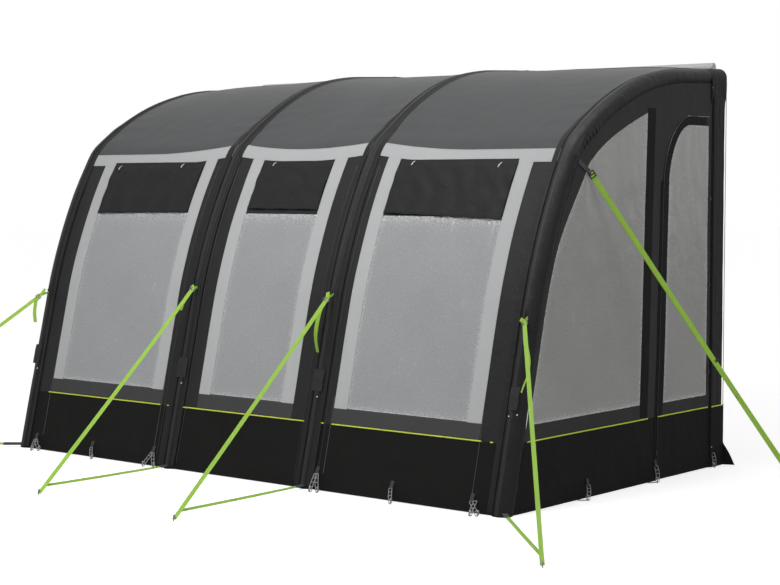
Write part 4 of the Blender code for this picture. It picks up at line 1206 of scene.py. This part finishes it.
before = [vertex.co.copy() for vertex in pad.data.vertices]
filling = pad.modifiers.new("filling", "CLOTH")
filling.settings.use_pressure = True
filling.settings.uniform_pressure_force = 4.0
filling.settings.effector_weights.gravity = 0.0
for step in range(1, 13):
    bpy.context.scene.frame_set(step)
take(pad)
bpy.ops.object.modifier_apply(modifier="filling")
bpy.context.scene.frame_set(1)
for vertex, start in zip(pad.data.vertices, before):
    move = vertex.co - start
    move.z = 0.0
    vertex.co = start + move * min(1.0, 0.006 / max(move.length, 1e-6))
for vertex in pad.data.vertices:
    place = vertex.co
    face = ease((abs(place.x - (low[0] + high[0]) / 2) - 0.006) / 0.005)
    sign = 1.0 if place.x > (low[0] + high[0]) / 2 else -1.0
    depth = 0.0022 * rumple(place.y * 1.6, place.z * 0.12, 0.03, 61.0)
    depth += 0.0010 * rumple(place.y, place.z * 0.4, 0.05, 63.0)
    place.x += sign * face * depth
    place.x = min(max(place.x, low[0] - 0.001), high[0] + 0.004)
    place.y = min(max(place.y, low[1] + 0.0005), high[1])
    place.z = max(place.z, 0.0015)
for side, sign in SIDES.items():
    made = pad
    if side == "left":
        take(pad)
        bpy.ops.object.duplicate()
        made = bpy.context.object
        made.name = made.data.name = "pad_left"
        for vertex in made.data.vertices:
            vertex.co.x = -vertex.co.x
        made.data.flip_normals()
    if not made.data.uv_layers:
        made.data.uv_layers.new()
    map_by_place(made, 1.0)
    put(made, pad_cloth, "canopy", f"rear_pad_{side}", slot="pad_fabric", angle=60.0)
    skirt = side_piece(
        f"pad_skirt_{side}", sign, stops(0.01, DOOR_REAR + 0.011, high[1] - 0.001), stops(GRID, 0.004, MUD_TOP),
        proud=high[0] - SIDE_X + 0.0045,
    )
    sew(skirt, DOUBLED, mud_cloth, "canopy", slot="black_fabric", rests_on=[made])
    ys = stops(0.02, DOOR_REAR + 0.012, high[1] - 0.002)
    points = [side_point(sign, y, MUD_TOP, high[0] - SIDE_X + 0.0055) for y in ys]
    bead_along(f"pad_piping_{side}", points, PIPING_RADIUS, piping_cloth, "canopy", "lime_webbing")
    # A dark bead of the pad's cloth down the front edge, and a pale grey one down the rear edge.
    for name, y, top, radius, material in (
        ("front", low[1] + 0.012, 2.245, 0.0026, pad_cloth), ("rear", high[1] - 0.0035, 2.262, 0.0022, pale_edge_cloth)
    ):
        x = sign * (high[0] + 0.0022)
        points = [Vector((x, y + 0.0006 * rumple(y, z, 0.2, 65.0), z)) for z in stops(0.05, 0.004, top)]
        bead_along(f"pad_edge_bead_{side}_{name}", points, radius, material, "canopy", "pad_fabric")


# Corner gussets
# The side cloth is carried on from each pad over the end of the outer beam and down its back, as a
# gathered cover under the rail.

DROP, GUSSET_FRONT, GUSSET_REAR, BEAM_END_Y = 0.20, 0.953, 1.1238, 1.1164
for side, sign in SIDES.items():
    beam = BEAM_OF[side]

    def gusset_point(a, b):
        """From the tube's crown, at a 0, round its outer side and straight down, and back over its end."""
        y = min(GUSSET_FRONT + b, GUSSET_REAR)
        end = max(GUSSET_FRONT + b - GUSSET_REAR, 0.0)
        centre_z = profile(BEAM_END_RUN - max(BEAM_END_Y - y, 0.0))[1]
        radius = BEAM_RADIUS + 0.0032 + 0.0022 * rumple(y * 1.5, a * 0.35, 0.035, 73.0)
        turn = min(a / radius, math.pi / 2)
        shrink = 1.0 - min(end / (radius + 0.008), 1.0)
        drop = max(a - radius * math.pi / 2, 0.0)
        tuck = 0.014 * ease((drop - 0.09) / (DROP - 0.10))
        out = (radius - tuck + 0.004 * ease(drop / 0.05) * rumple(y, a * 0.2, 0.04, 75.0)) * math.sin(turn)
        up = radius * math.cos(turn)
        return Vector((sign * (OUTER_X + out * shrink), y + 0.0016 * ease(end / 0.01), centre_z + up * shrink - drop))

    rows = stops(0.007, 0.0, GUSSET_REAR - GUSSET_FRONT, 0.235)
    cover = lay(f"corner_gusset_{beam}", stops(0.006, 0.0, 0.09 + DROP), rows, gusset_point)
    if sign > 0:
        cover.data.flip_normals()
    sew(
        cover, DOUBLED, pad_cloth, "canopy", slot="black_fabric", offset=1.0, held="gathered",
        rests_on=[f"beam_sleeve_{beam}"],
    )


# Rail bead
# A round cord in a white cloth sleeve along the roof's back edge, which slides into the caravan's rail,
# and the light grey strip that joins it to the roof, wrinkled where it is gathered at the ends.

bead_cloth = cloth("bead_cloth", (0.55, 0.55, 0.54, 1.0), thread=0.0008, roughness=0.6)
keder_cloth = cloth("keder_cloth", (0.30, 0.305, 0.31, 1.0), thread=0.0012, roughness=0.65, crease=0.9)
low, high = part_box("rail_bead")
centre_y, centre_z = (low[1] + high[1]) / 2, (low[2] + high[2]) / 2
points = [Vector((x, centre_y, centre_z)) for x in stops(0.04, low[0], high[0])]
bead = bead_along("rail_bead_cord", points, (high[2] - low[2]) / 2 - 0.0001, bead_cloth, "canopy", "bead_core")
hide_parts("rail_bead")


def keder_point(x, a):
    """From the bead, at 0, forward over the roof's edge, at 1."""
    outer = abs(x) > SEAM_XS[-1]
    beam = ("4" if x > 0 else "1") if outer else ("3" if x >= 0 else "2")
    crown = sleeve_point(beam, (x - BEAMS[beam][0]) / BEAM_RADIUS, BEAM_END_RUN - 0.06, 0.002)
    if outer:
        under = crown
    else:
        bay = "middle" if abs(x) < INNER_X else ("left" if x < 0 else "right")
        under = roof_point(bay, min(max(x, BAYS[bay][0]), BAYS[bay][1]), ROOF_END_RUN - 0.035)
        under = Vector((x, under.y, under.z + 0.003))
        if abs(abs(x) - INNER_X) < BEAM_RADIUS:
            under = Vector((x, min(under.y, crown.y), max(under.z, crown.z)))
    back = Vector((x, centre_y - 0.002, centre_z + 0.0036))
    gather = 0.0025 * rumple(x, a * 0.03, 0.018, 71.0) * math.sin(math.pi * a)
    gather *= 0.35 + 0.65 * ease((abs(x) - 1.45) / 0.2)
    return back.lerp(under, a) + Vector((0.0, 0.0, gather + 0.001))


keder = lay("keder_strip", stops(0.007, low[0] + 0.004, high[0] - 0.004), stops(0.125, 0.0, 1.0), keder_point)
keder.data.flip_normals()
for uv in keder.data.uv_layers.active.data:
    uv.uv[1] *= 0.06
sew(keder, FILM, keder_cloth, "canopy", slot="band_fabric", rests_on=["rail_bead"])


# Straps
# Flat lime webbing from a cloth tab on each beam to a peg, and back from a sewn joint above the peg to
# the beam's foot. Each doubles through its tab and a buckle, below which the spare end hangs loose.

LIME, LOOK = (0.34, 0.60, 0.052, 1.0), Vector((0.62, -0.77, 0.15))
GUY_WIDTH, RETURN_WIDTH = 0.022, 0.020
OUTER_GUY = (
    (1.895, -0.88553, 1.0212), (2.75734, -1.95669, 0.01), (2.70682, -1.89394, 0.06924), (1.93326, -1.10277, 0.02),
)
GUYS = {  # the start at the beam, the end at the peg, the joint above it, the beam's foot; the buckle's run
    "1": (*[(-x, y, z) for x, y, z in OUTER_GUY], 0.09),
    "2": (
        (-0.55, -0.85992, 1.09873), (-0.42041, -2.19575, 0.01), (-0.42791, -2.11845, 0.073),
        (-0.54348, -1.11993, 0.02), 0.05,
    ),
    "3": (
        (0.55, -0.85991, 1.09873), (0.69954, -2.24576, 0.01), (0.69109, -2.16741, 0.07156),
        (0.55717, -1.11977, 0.02), 0.08,
    ),
    "4": (*OUTER_GUY, 0.06),
}
PEGS = {"1": (-2.76, -1.96), "2": (-0.42, -2.20), "3": (0.70, -2.25), "4": (2.76, -1.96), "storm": (2.70, 0.65)}
TAILS = {
    "1": ((0.0, 0.0, 0.0), (-0.008, -0.006, -0.045), (-0.012, -0.010, -0.10), (-0.010, -0.006, -0.16)),
    "2": ((0.0, 0.0, 0.0), (0.002, -0.042, -0.036), (0.006, -0.078, -0.072), (0.010, -0.104, -0.112)),
    "3": ((0.0, 0.0, 0.0), (-0.022, -0.022, -0.06), (-0.040, -0.036, -0.185), (-0.012, -0.052, -0.285)),
    "4": ((0.0, 0.0, 0.0), (0.022, -0.022, -0.09), (0.060, -0.045, -0.215), (0.020, -0.055, -0.345)),
}


def webbing_material(name, colour):
    """Woven strapping: close ribs across it, a row of raised threads along its middle and firm edges."""
    material = new_material(name, colour, 0.6, Sheen_Weight=0.15, Specular_IOR_Level=0.3)
    uv = add_node(material, "TexCoord").outputs["UV"]
    ribs = add_node(material, "TexWave", {"bands_direction": "Y"}, Vector=uv, Scale=0.314 / 0.0016).outputs["Fac"]
    rows = add_node(material, "TexWave", {"bands_direction": "X"}, Vector=uv, Scale=0.314 / 0.0042).outputs["Fac"]
    wear = add_node(material, "TexNoise", Vector=uv, Scale=35.0, Detail=4.0).outputs["Fac"]
    base = mix(material, ribs, shade(colour, 0.80), shade(colour, 1.08))
    base = mix(material, work(material, "MULTIPLY", rows, 0.3), base, shade(colour, 1.3))
    spread = add_node(material, "MapRange", Value=wear, From_Min=0.3, From_Max=0.7).outputs[0]
    base = mix(material, work(material, "MULTIPLY", spread, 0.22), base, shade(colour, 0.7))
    height = work(material, "ADD", ribs, work(material, "MULTIPLY", rows, 0.5))
    bump = add_node(material, "Bump", Height=height, Strength=0.6, Distance=0.0005).outputs[0]
    wire(material, Base_Color=base, Normal=bump)
    return material


lime_webbing = webbing_material("lime_webbing_weave", LIME)
black_webbing = webbing_material("black_webbing_weave", (0.014, 0.014, 0.015, 1.0))

peg_steel = skin(
    "galvanised_steel", (0.30, 0.31, 0.31, 1.0), 0.5, 260.0, 3.0, 0.3, 0.0003,
    dark=(0.20, 0.205, 0.21, 1.0), pale=(0.36, 0.365, 0.37, 1.0), Metallic=0.7,
)


def curve_through(*spots, count=8):
    """Points on a smooth line through these spots, by Catmull and Rom's rule."""
    spots = [Vector(spot) for spot in spots]
    ends = [spots[0] * 2 - spots[1], *spots, spots[-1] * 2 - spots[-2]]
    points = [spots[0]]
    for a, b, c, d in zip(ends, ends[1:], ends[2:], ends[3:]):
        for step in range(1, count + 1):
            t = step / count
            points.append(
                0.5 * (2 * b + (c - a) * t + (2 * a - 5 * b + 4 * c - d) * t**2 + (3 * b - a - 3 * c + d) * t**3)
            )
    return points


def length_of(points):
    return sum((high - low).length for low, high in zip(points, points[1:]))


def webbing(name, points, width, facing, thickness=0.0015):
    """A flat strap along these points, its face turned the way that facing(share) says."""
    marks = [0.0]
    for low, high in zip(points, points[1:]):
        marks.append(marks[-1] + (high - low).length)
    spot = {mark: index for index, mark in enumerate(marks)}

    def place(a, b):
        index = spot[b]
        along = (points[min(index + 1, len(points) - 1)] - points[max(index - 1, 0)]).normalized()
        return points[index] + facing(b / marks[-1]).cross(along).normalized() * a

    strip = lay(name, stops(width / 4, -width / 2, width / 2), marks, place)
    return apply(strip, "SOLIDIFY", thickness=thickness, offset=0.0)


def taut(start, end, sag, count=30):
    """Points from one end to the other of a pulled strap, hanging by sag in the middle."""
    start, end = Vector(start), Vector(end)
    shares = [i / count for i in range(count + 1)]
    return [start.lerp(end, share) - Vector((0.0, 0.0, sag * 4 * share * (1 - share))) for share in shares]


def declare(points):
    """Turns a strap's points into tuples and measures its length, and keeps neither."""
    path = [tuple(point) for point in points]
    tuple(path[0])
    length_of(points)


def glide(name, middle, along, facing, width, height, bar=0.0038, thick=0.0038):
    """A three-bar slider: a moulded frame with two slots, lying across a strap."""
    along = along.normalized()
    across = facing.cross(along).normalized()
    out = along.cross(across)
    half, tall = width / 2, height / 2
    frame_x = [-half, -half + bar, half - bar, half]
    frame_y = [-tall, -tall + bar, -bar / 2, bar / 2, tall - bar, tall]
    made = lay(name, frame_x, frame_y, lambda a, b: middle + across * a + along * b)
    remove_faces(made, lambda a, b: abs(a - half) < half - bar and bar / 2 < abs(b - tall) < tall - bar)
    apply(made, "SOLIDIFY", thickness=thick, offset=0.0)
    apply(made, "BEVEL", width=0.0009, segments=2)
    for vertex in made.data.vertices:
        vertex.co += out * 0.0012 * abs((vertex.co - middle).dot(along)) / tall
    return made


def hook_peg(name, place, toward):
    """A round steel peg, driven in and bent over at the top towards the strap."""
    x, y = place
    way = Vector((toward[0] - x, toward[1] - y, 0.0)).normalized()
    foot = Vector((x, y, 0.0))
    up = [foot + Vector((0.0, 0.0, z)) for z in (0.0012, 0.012, 0.024)]
    bend = [
        foot + way * 0.0052 * (1 - math.cos(turn)) + Vector((0.0, 0.0, 0.024 + 0.0082 * math.sin(turn)))
        for turn in [math.pi * i / 8 for i in range(1, 9)]
    ]
    points = up + bend + [bend[-1] - Vector((0.0, 0.0, 0.007))]
    return bead_along(name, points, 0.0034, peg_steel, "canopy", "peg_steel")


for beam, (start, end, sewn, foot, buckle_run) in GUYS.items():
    start, end, sewn, foot = (Vector(point) for point in (start, end, sewn, foot))
    sewn = end.lerp(sewn, 0.6)
    pull = (end - start).normalized()
    side = LOOK.cross(pull).normalized()
    tip = start + pull * 0.022
    buckle_at = start + pull * buckle_run

    # The tab: a doubled web of the sleeve's cloth, sewn down along the beam's front.
    x, share = BEAMS[beam]
    run = min(stops(0.002, 0.9, 1.2), key=lambda run: (off_beam(x, run, BEAM_RADIUS, share) - start).length)

    def web_point(a, b):
        """From the seam on the sleeve, at 0, to the free edge, at 1, down the beam."""
        root = off_beam(x + 0.004, run + 0.085 - 0.115 * b, BEAM_RADIUS - 0.001, share)
        reach = ease(b / 0.74) if b < 0.74 else 1 - 0.9 * (b - 0.74) / 0.26
        free = root.lerp(tip - pull * 0.002, reach)
        return root.lerp(free, a) + Vector((0.003 * math.sin(5 * b + float(beam)) * a, 0.0, 0.0))

    web = lay(f"guy_web_{beam}", stops(0.1, 0.0, 1.0), stops(0.05, 0.0, 1.0), web_point)
    true_map(web, web_point, 0.115)
    sew(web, 0.0024, flange_cloth, "canopy", slot="black_fabric", rests_on=[f"beam_sleeve_{beam}"])

    # Both ears of the doubled end, from the tab to the buckle. The first runs on as the strap.
    ways = []
    for lean in (-1.0, 1.0):
        top = tip + side * lean * 0.019 + Vector((0.0, 0.0, 0.004 * lean))
        ways.append(curve_through(top, top.lerp(buckle_at, 0.55) - side * lean * 0.004, buckle_at, count=5))
    main = ways[0] + taut(buckle_at, end, 0.006)[1:]
    ear = webbing(f"guy_ear_{beam}", ways[1], 0.016, lambda share: LOOK * (0.4 + share) + side * (1 - share))
    put(ear, lime_webbing, "canopy", slot="lime_webbing")

    def facing(share):
        turn = 0.10 * math.sin(3.0 * share + float(beam)) + 0.9 * ease((share - 0.93) / 0.07)
        return LOOK + Vector((0.0, -0.6, 0.9)) * turn - side * 0.6 * ease(1 - share / 0.05)

    strap = webbing(f"guy_webbing_{beam}", main, GUY_WIDTH, facing)
    put(strap, lime_webbing, "canopy", f"guy_strap_{beam}", slot="lime_webbing")

    peg = hook_peg(f"guy_hook_{beam}", PEGS[beam], start)
    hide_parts(f"guy_peg_{beam}")
    declare(main)

    # The return from the beam's foot, in black webbing first, to the joint sewn above the peg.
    back = taut(foot, sewn, 0.002)
    up_and_out = Vector((0.25, -0.35, 1.0))
    strap = webbing(
        f"guy_return_{beam}", back, RETURN_WIDTH, lambda share: up_and_out + LOOK * 0.9 * math.sin(2.2 * share)
    )
    hold_mesh_low(strap)
    put(strap, lime_webbing, "canopy", slot="lime_webbing")
    loop_points = back[: 3 if beam in "23" else 4]
    loop = webbing(
        f"guy_foot_loop_{beam}", loop_points, 0.027, lambda share: up_and_out + LOOK * 0.1 * share, 0.0042
    )
    hold_mesh_low(loop)
    put(loop, black_webbing, "canopy", slot="black_fabric")
    declare(back)

    buckle = glide(f"guy_slider_{beam}", buckle_at, pull, LOOK, 0.034, 0.026)
    put(buckle, toggle_plastic, f"guy_buckle_{beam}", f"guy_buckle_{beam}", slot="black_plastic")

    # The spare end, hanging from the buckle and twisting as it hangs.
    spare = curve_through(*(buckle_at + pull * 0.012 + LOOK * 0.004 + Vector(point) for point in TAILS[beam]), count=7)
    twist = {"1": 0.3, "2": 0.2, "3": 0.9, "4": 1.7}[beam]
    tail = webbing(
        f"guy_tail_{beam}", spare, GUY_WIDTH,
        lambda share: Matrix.Rotation(twist * ease((share - 0.35) / 0.5), 3, "Z") @ LOOK,
    )
    put(tail, lime_webbing, f"guy_buckle_{beam}", slot="lime_webbing")
    declare(spare)


# Storm strap
# Wider webbing from a stitched patch on the right beam, over the door to a peg behind: black as far as
# its buckle, then lime, with a slider half way down.

STORM_WIDTH, LAYER_WIDTH = 0.030, 0.024
start, end = Vector((1.95829, -0.3698, 1.77273)), Vector((2.69741, 0.64643, 0.01))
pull = (end - start).normalized()
line = taut(start, end, 0.010, 44)


def storm_facing(share):
    turn = Matrix.Rotation(0.25 * math.sin(2.6 * share), 3, "Z")
    return turn @ LOOK + Vector((0.0, 0.0, 1.3)) * ease((share - 0.95) / 0.05)


storm = webbing("storm_webbing", line, STORM_WIDTH, storm_facing, 0.0022)
put(storm, lime_webbing, "canopy", "storm_strap", slot="lime_webbing")
buckle = glide("storm_ladder_lock", start + pull * 0.022, pull, LOOK, 0.038, 0.040, 0.006, 0.007)
put(buckle, toggle_plastic, "canopy", "storm_buckle", slot="black_plastic")
stitches = glide("storm_stitching", start + pull * 0.175, pull, LOOK, 0.031, 0.006, 0.0028, 0.0030)
put(stitches, webbing_material("dark_lime_thread", (0.12, 0.25, 0.02, 1.0)), "canopy", slot="lime_webbing")
peg = hook_peg("storm_hook", PEGS["storm"], start)
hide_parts("storm_peg")
declare(line)
low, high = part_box("storm_adjuster")
middle = (Vector(low) + Vector(high)) / 2
slider = glide("storm_slider", middle, pull, LOOK, 0.040, 0.016, 0.0045, 0.006)
put(slider, toggle_plastic, "storm_adjuster", "storm_adjuster", slot="black_plastic")
double = [point + LOOK * 0.0022 for point in line[3:32]]
layer = webbing("storm_second_layer", double, LAYER_WIDTH, storm_facing, 0.0014)
put(layer, lime_webbing, "canopy", slot="lime_webbing")
declare(double)

tab_path = curve_through(
    (1.9465, -0.4565, 1.8246), (1.9478, -0.42, 1.8035), (1.9500, -0.385, 1.781), tuple(start + pull * 0.016), count=5
)
tab = webbing("storm_tab_webbing", tab_path, STORM_WIDTH, lambda share: Vector((1.0, 0.0, 0.1)), 0.0022)
put(tab, black_webbing, "canopy", "storm_tab", slot="black_fabric")

PATCH_LENGTH, PATCH_SPREAD = 0.135, 0.7688


def patch_point(a, b):
    """A triangle sewn on the sleeve's outer side, its point up the beam and its foot at the tab."""
    angle = 1.05 + 0.30 * b + PATCH_SPREAD * (a - 0.5) * (0.06 + 0.94 * b)
    return sleeve_point("4", angle, 2.085 - PATCH_LENGTH * b, 0.0016)


patch = lay("storm_patch", stops(0.1, 0.0, 1.0), stops(0.06, 0.0, 1.0), patch_point)
true_map(patch, patch_point, PATCH_LENGTH)
# The patch is painted lighter than the sleeve's black, as painted light where it looks lit on the beam.
painted_lit_patch_cloth = cloth(
    "painted_lit_patch_cloth", (0.020, 0.020, 0.020, 1.0), roughness=0.6, seams=(0.006, 0.020, 0.065, 0.079), crease=0.5,
    gloss=0.2
)
sew(patch, 0.0014, painted_lit_patch_cloth, "canopy", slot="black_fabric", offset=1.0, rests_on=["beam_sleeve_4"])


# Snap studs
# Small domed nickel studs: two in each sleeve below its valve, for the cover's loose end, and one in
# the foot of each rear pad.

stud_nickel = new_material("stud_nickel", (0.62, 0.62, 0.60, 1.0), 0.3, Metallic=0.8)
place = add_node(stud_nickel, "TexCoord").outputs["Object"]
scratch = add_node(stud_nickel, "TexNoise", Vector=place, Scale=700.0).outputs["Fac"]
wire(stud_nickel, Roughness=add_node(stud_nickel, "MapRange", Value=scratch, To_Min=0.2, To_Max=0.45).outputs[0])


def stud(name, place, out, body):
    """A domed stud, standing out of the cloth."""
    bpy.ops.object.select_all(action="DESELECT")
    bpy.ops.mesh.primitive_uv_sphere_add(segments=16, ring_count=8, radius=0.0042)
    made = bpy.context.object
    made.name = made.data.name = name
    turn = out.to_track_quat("Z", "Y")
    for vertex in made.data.vertices:
        low_dome = Vector((vertex.co.x, vertex.co.y, max(vertex.co.z, -0.001) * 0.55))
        vertex.co = place + turn @ low_dome
    return put(made, stud_nickel, body, slot="peg_steel", angle=60.0)


for beam, (x, share) in BEAMS.items():
    for number, (aside, run) in enumerate(((-0.036, 0.520), (0.010, 0.508))):
        way = 1.0 if x < 1.8 else -1.0
        spot = sleeve_point(beam, aside * way / BEAM_RADIUS, run, 0.0002)
        centre = off_beam(x, run, 0.0, share)
        stud(f"valve_stud_{beam}_{number}", spot, (spot - centre).normalized(), "canopy")


# Pegging ladders
# Grey rubber ladders on black tabs at the hem, each stretched to a steel peg just outside it.

rubber = skin(
    "ladder_rubber", (0.26, 0.26, 0.255, 1.0), 0.65, 90.0, 4.0, 0.2, 0.0004,
    dark=(0.20, 0.20, 0.195, 1.0), pale=(0.33, 0.33, 0.32, 1.0),
)


def ladder(name, points, facing, width=0.022, rungs=5):
    """Two rails and their rungs along a curve, cut from a strip."""
    points = curve_through(*points, count=6)
    total = length_of(points)

    def along(distance):
        for low, high in zip(points, points[1:]):
            step = (high - low).length
            if distance <= step:
                return low.lerp(high, distance / step), (high - low).normalized()
            distance -= step
        return points[-1], (points[-1] - points[-2]).normalized()

    bar = 0.0036
    marks = [0.0]
    for i in range(rungs):
        start = (total - bar) * i / (rungs - 1)
        if i:
            marks += stops(0.008, marks[-1], start)[1:]
        marks.append(start + bar)
    across = [-width / 2, -width / 2 + bar, width / 2 - bar, width / 2]

    def place(a, b):
        spot, way = along(b)
        return spot + Vector(facing).cross(way).normalized() * a

    strip = lay(name, across, marks, place)
    is_rung = lambda b: any(abs(b - (total - bar) * i / (rungs - 1) - bar / 2) < bar / 2 for i in range(rungs))
    remove_faces(strip, lambda a, b: bar < a < width - bar and not is_rung(b))
    apply(strip, "SOLIDIFY", thickness=0.0042, offset=0.0)
    apply(strip, "BEVEL", width=0.0009, segments=2)
    hold_mesh_low(strip, 0.0008)
    return strip


def hem_tab(name, hang, width, way):
    """The black webbing tab that a ladder hangs from."""
    tab = webbing(name, curve_through(*hang, count=4), width, lambda share: Vector(way), 0.003)
    put(tab, black_webbing, "canopy", slot="black_fabric")


FRONT_LADDERS = (  # X and height at the hem, and the peg's place
    (-1.775, 0.052, -1.731, -1.184), (-1.770, 0.052, -1.690, -1.158), (-1.235, 0.050, -1.166, -1.173),
    (-0.684, 0.070, -0.712, -1.165), (-0.680, 0.070, -0.643, -1.140), (0.642, 0.080, 0.666, -1.187),
    (0.648, 0.080, 0.712, -1.175), (1.186, 0.058, 1.247, -1.189), (1.727, 0.050, 1.812, -1.172),
    (1.756, 0.054, 1.782, -1.197),
)
for number, (x, z, foot_x, foot_y) in enumerate(FRONT_LADDERS):
    run = z / math.sin(LEG_LEAN)
    top = wall_point(x, run, 0.009)
    foot = Vector((foot_x, foot_y, 0.006))
    middle = top.lerp(foot, 0.5) + Vector((0.0, -0.004, 0.0))
    rails = ladder(f"ladder_front_{number}", (top, middle, foot), (0.2, -0.8, 0.5))
    put(rails, rubber, "canopy", slot="grey_rubber")
    hook_peg(f"ladder_peg_front_{number}", foot.xy, (foot_x, foot_y + 1.0))
    if number in (0, 2, 3, 5, 7, 8):
        hang = [wall_point(x + 0.003, run + up, out) for up, out in ((0.040, 0.0015), (0.020, 0.006), (-0.004, 0.010))]
        hem_tab(f"ladder_tab_front_{number}", hang, 0.022, (0.1, -0.95, 0.2))

SIDE_LADDERS = (  # Y and height at the hem, the peg's place, and where its tie comes back to the wall
    (-0.355, 0.072, 2.001, -0.431, -0.47), (0.350, 0.090, 1.990, 0.305, 0.250), (0.997, 0.088, 1.972, 0.990, 0.990),
)
for side, sign in SIDES.items():
    for number, (y, z, foot_x, foot_y, back_y) in enumerate(SIDE_LADDERS):
        lean = 0.010 if number < 2 else 0.014
        top = Vector((sign * (SIDE_X + lean), y, z))
        foot = Vector((sign * foot_x, foot_y, 0.006))
        rails = ladder(
            f"ladder_{side}_{number}", (top, top.lerp(foot, 0.5) + Vector((sign * 0.006, 0.0, 0.004)), foot),
            (sign * 0.55, -0.8, 0.3),
        )
        put(rails, rubber, "canopy", slot="grey_rubber")
        hook_peg(f"ladder_peg_{side}_{number}", foot.xy, (foot.x - sign * 0.3, foot.y))
        if number < 2:
            halfway = Vector((sign * (foot_x + 1.955) / 2, (foot_y + back_y) / 2, 0.005))
            tie = curve_through(foot, halfway, Vector((sign * 1.958, back_y, 0.006)), count=4)
            bead_along(f"ladder_tie_{side}_{number}", tie, 0.0028, rubber, "canopy", "grey_rubber")
        hang = [
            Vector((sign * (SIDE_X + out), y - 0.002, z + up))
            for up, out in ((0.034, 0.003), (0.016, 0.007), (-0.004, lean))
        ]
        hem_tab(f"ladder_tab_{side}_{number}", hang, 0.020, (sign, -0.1, 0.1))
    stud(f"pad_button_{side}", Vector((sign * (SIDE_X + 0.012), 0.985, 0.126)), Vector((sign, 0.0, 0.0)), "canopy")


# Draught flaps
# A corner of mud cloth behind each rear pad, spread on the ground against the wheel arch.

for side, sign in SIDES.items():
    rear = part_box(f"rear_pad_{side}")[1][1]

    def corner_point(a, b):
        """From the pad's edge, at 0, out to the free corner on the ground, at 1."""
        root = Vector((sign * 1.9505, rear - 0.006, 0.155 - 0.151 * b))
        free = Vector((sign * (1.9505 + 0.072 * b), rear - 0.006 + 0.034 * b, 0.155 - 0.151 * b))
        wave = 0.004 * math.sin(7.0 * b + 4.0 * a) * a
        return root.lerp(free, a) + Vector((0.0, wave, 0.0))

    flap = lay(f"draught_flap_{side}", stops(0.1, 0.0, 1.0), stops(0.06, 0.0, 1.0), corner_point)
    true_map(flap, corner_point, 0.15)
    hold_mesh_low(flap)
    sew(flap, 0.0016, mud_cloth, "canopy", slot="black_fabric", held="laid", rests_on=[f"rear_pad_{side}"])


# Door toggles
# Black toggles on elastic down each door's hinge side, which hold the door when it is rolled back, and
# the plain moulded slider of its zip.

TOGGLE_Y, TOGGLE_HEIGHTS = 0.938, (1.616, 1.103, 0.585)
for side, sign in SIDES.items():
    for number, z in enumerate(TOGGLE_HEIGHTS):
        spot = Vector((sign * (SIDE_X + 0.008), TOGGLE_Y, z))
        ends = [spot + Vector((0.0, 0.001, -0.013)), spot, spot + Vector((0.0, -0.001, 0.013))]
        bar = curve_through(*ends, count=3)
        bead_along(f"toggle_{side}_{number}", bar, 0.0048, toggle_plastic, f"door_{side}", "black_plastic", sides=12)
        cord = curve_through(
            spot + Vector((sign * -0.007, 0.008, 0.012)), spot + Vector((sign * 0.006, 0.004, 0.004)),
            spot + Vector((sign * 0.006, -0.004, -0.004)), spot + Vector((sign * -0.007, -0.008, -0.014)), count=4,
        )
        bead_along(f"toggle_elastic_{side}_{number}", cord, 0.0014, seam_grey, f"door_{side}", "grey_rubber")
    paint_node(f"door_zip_slider_{side}", toggle_plastic)
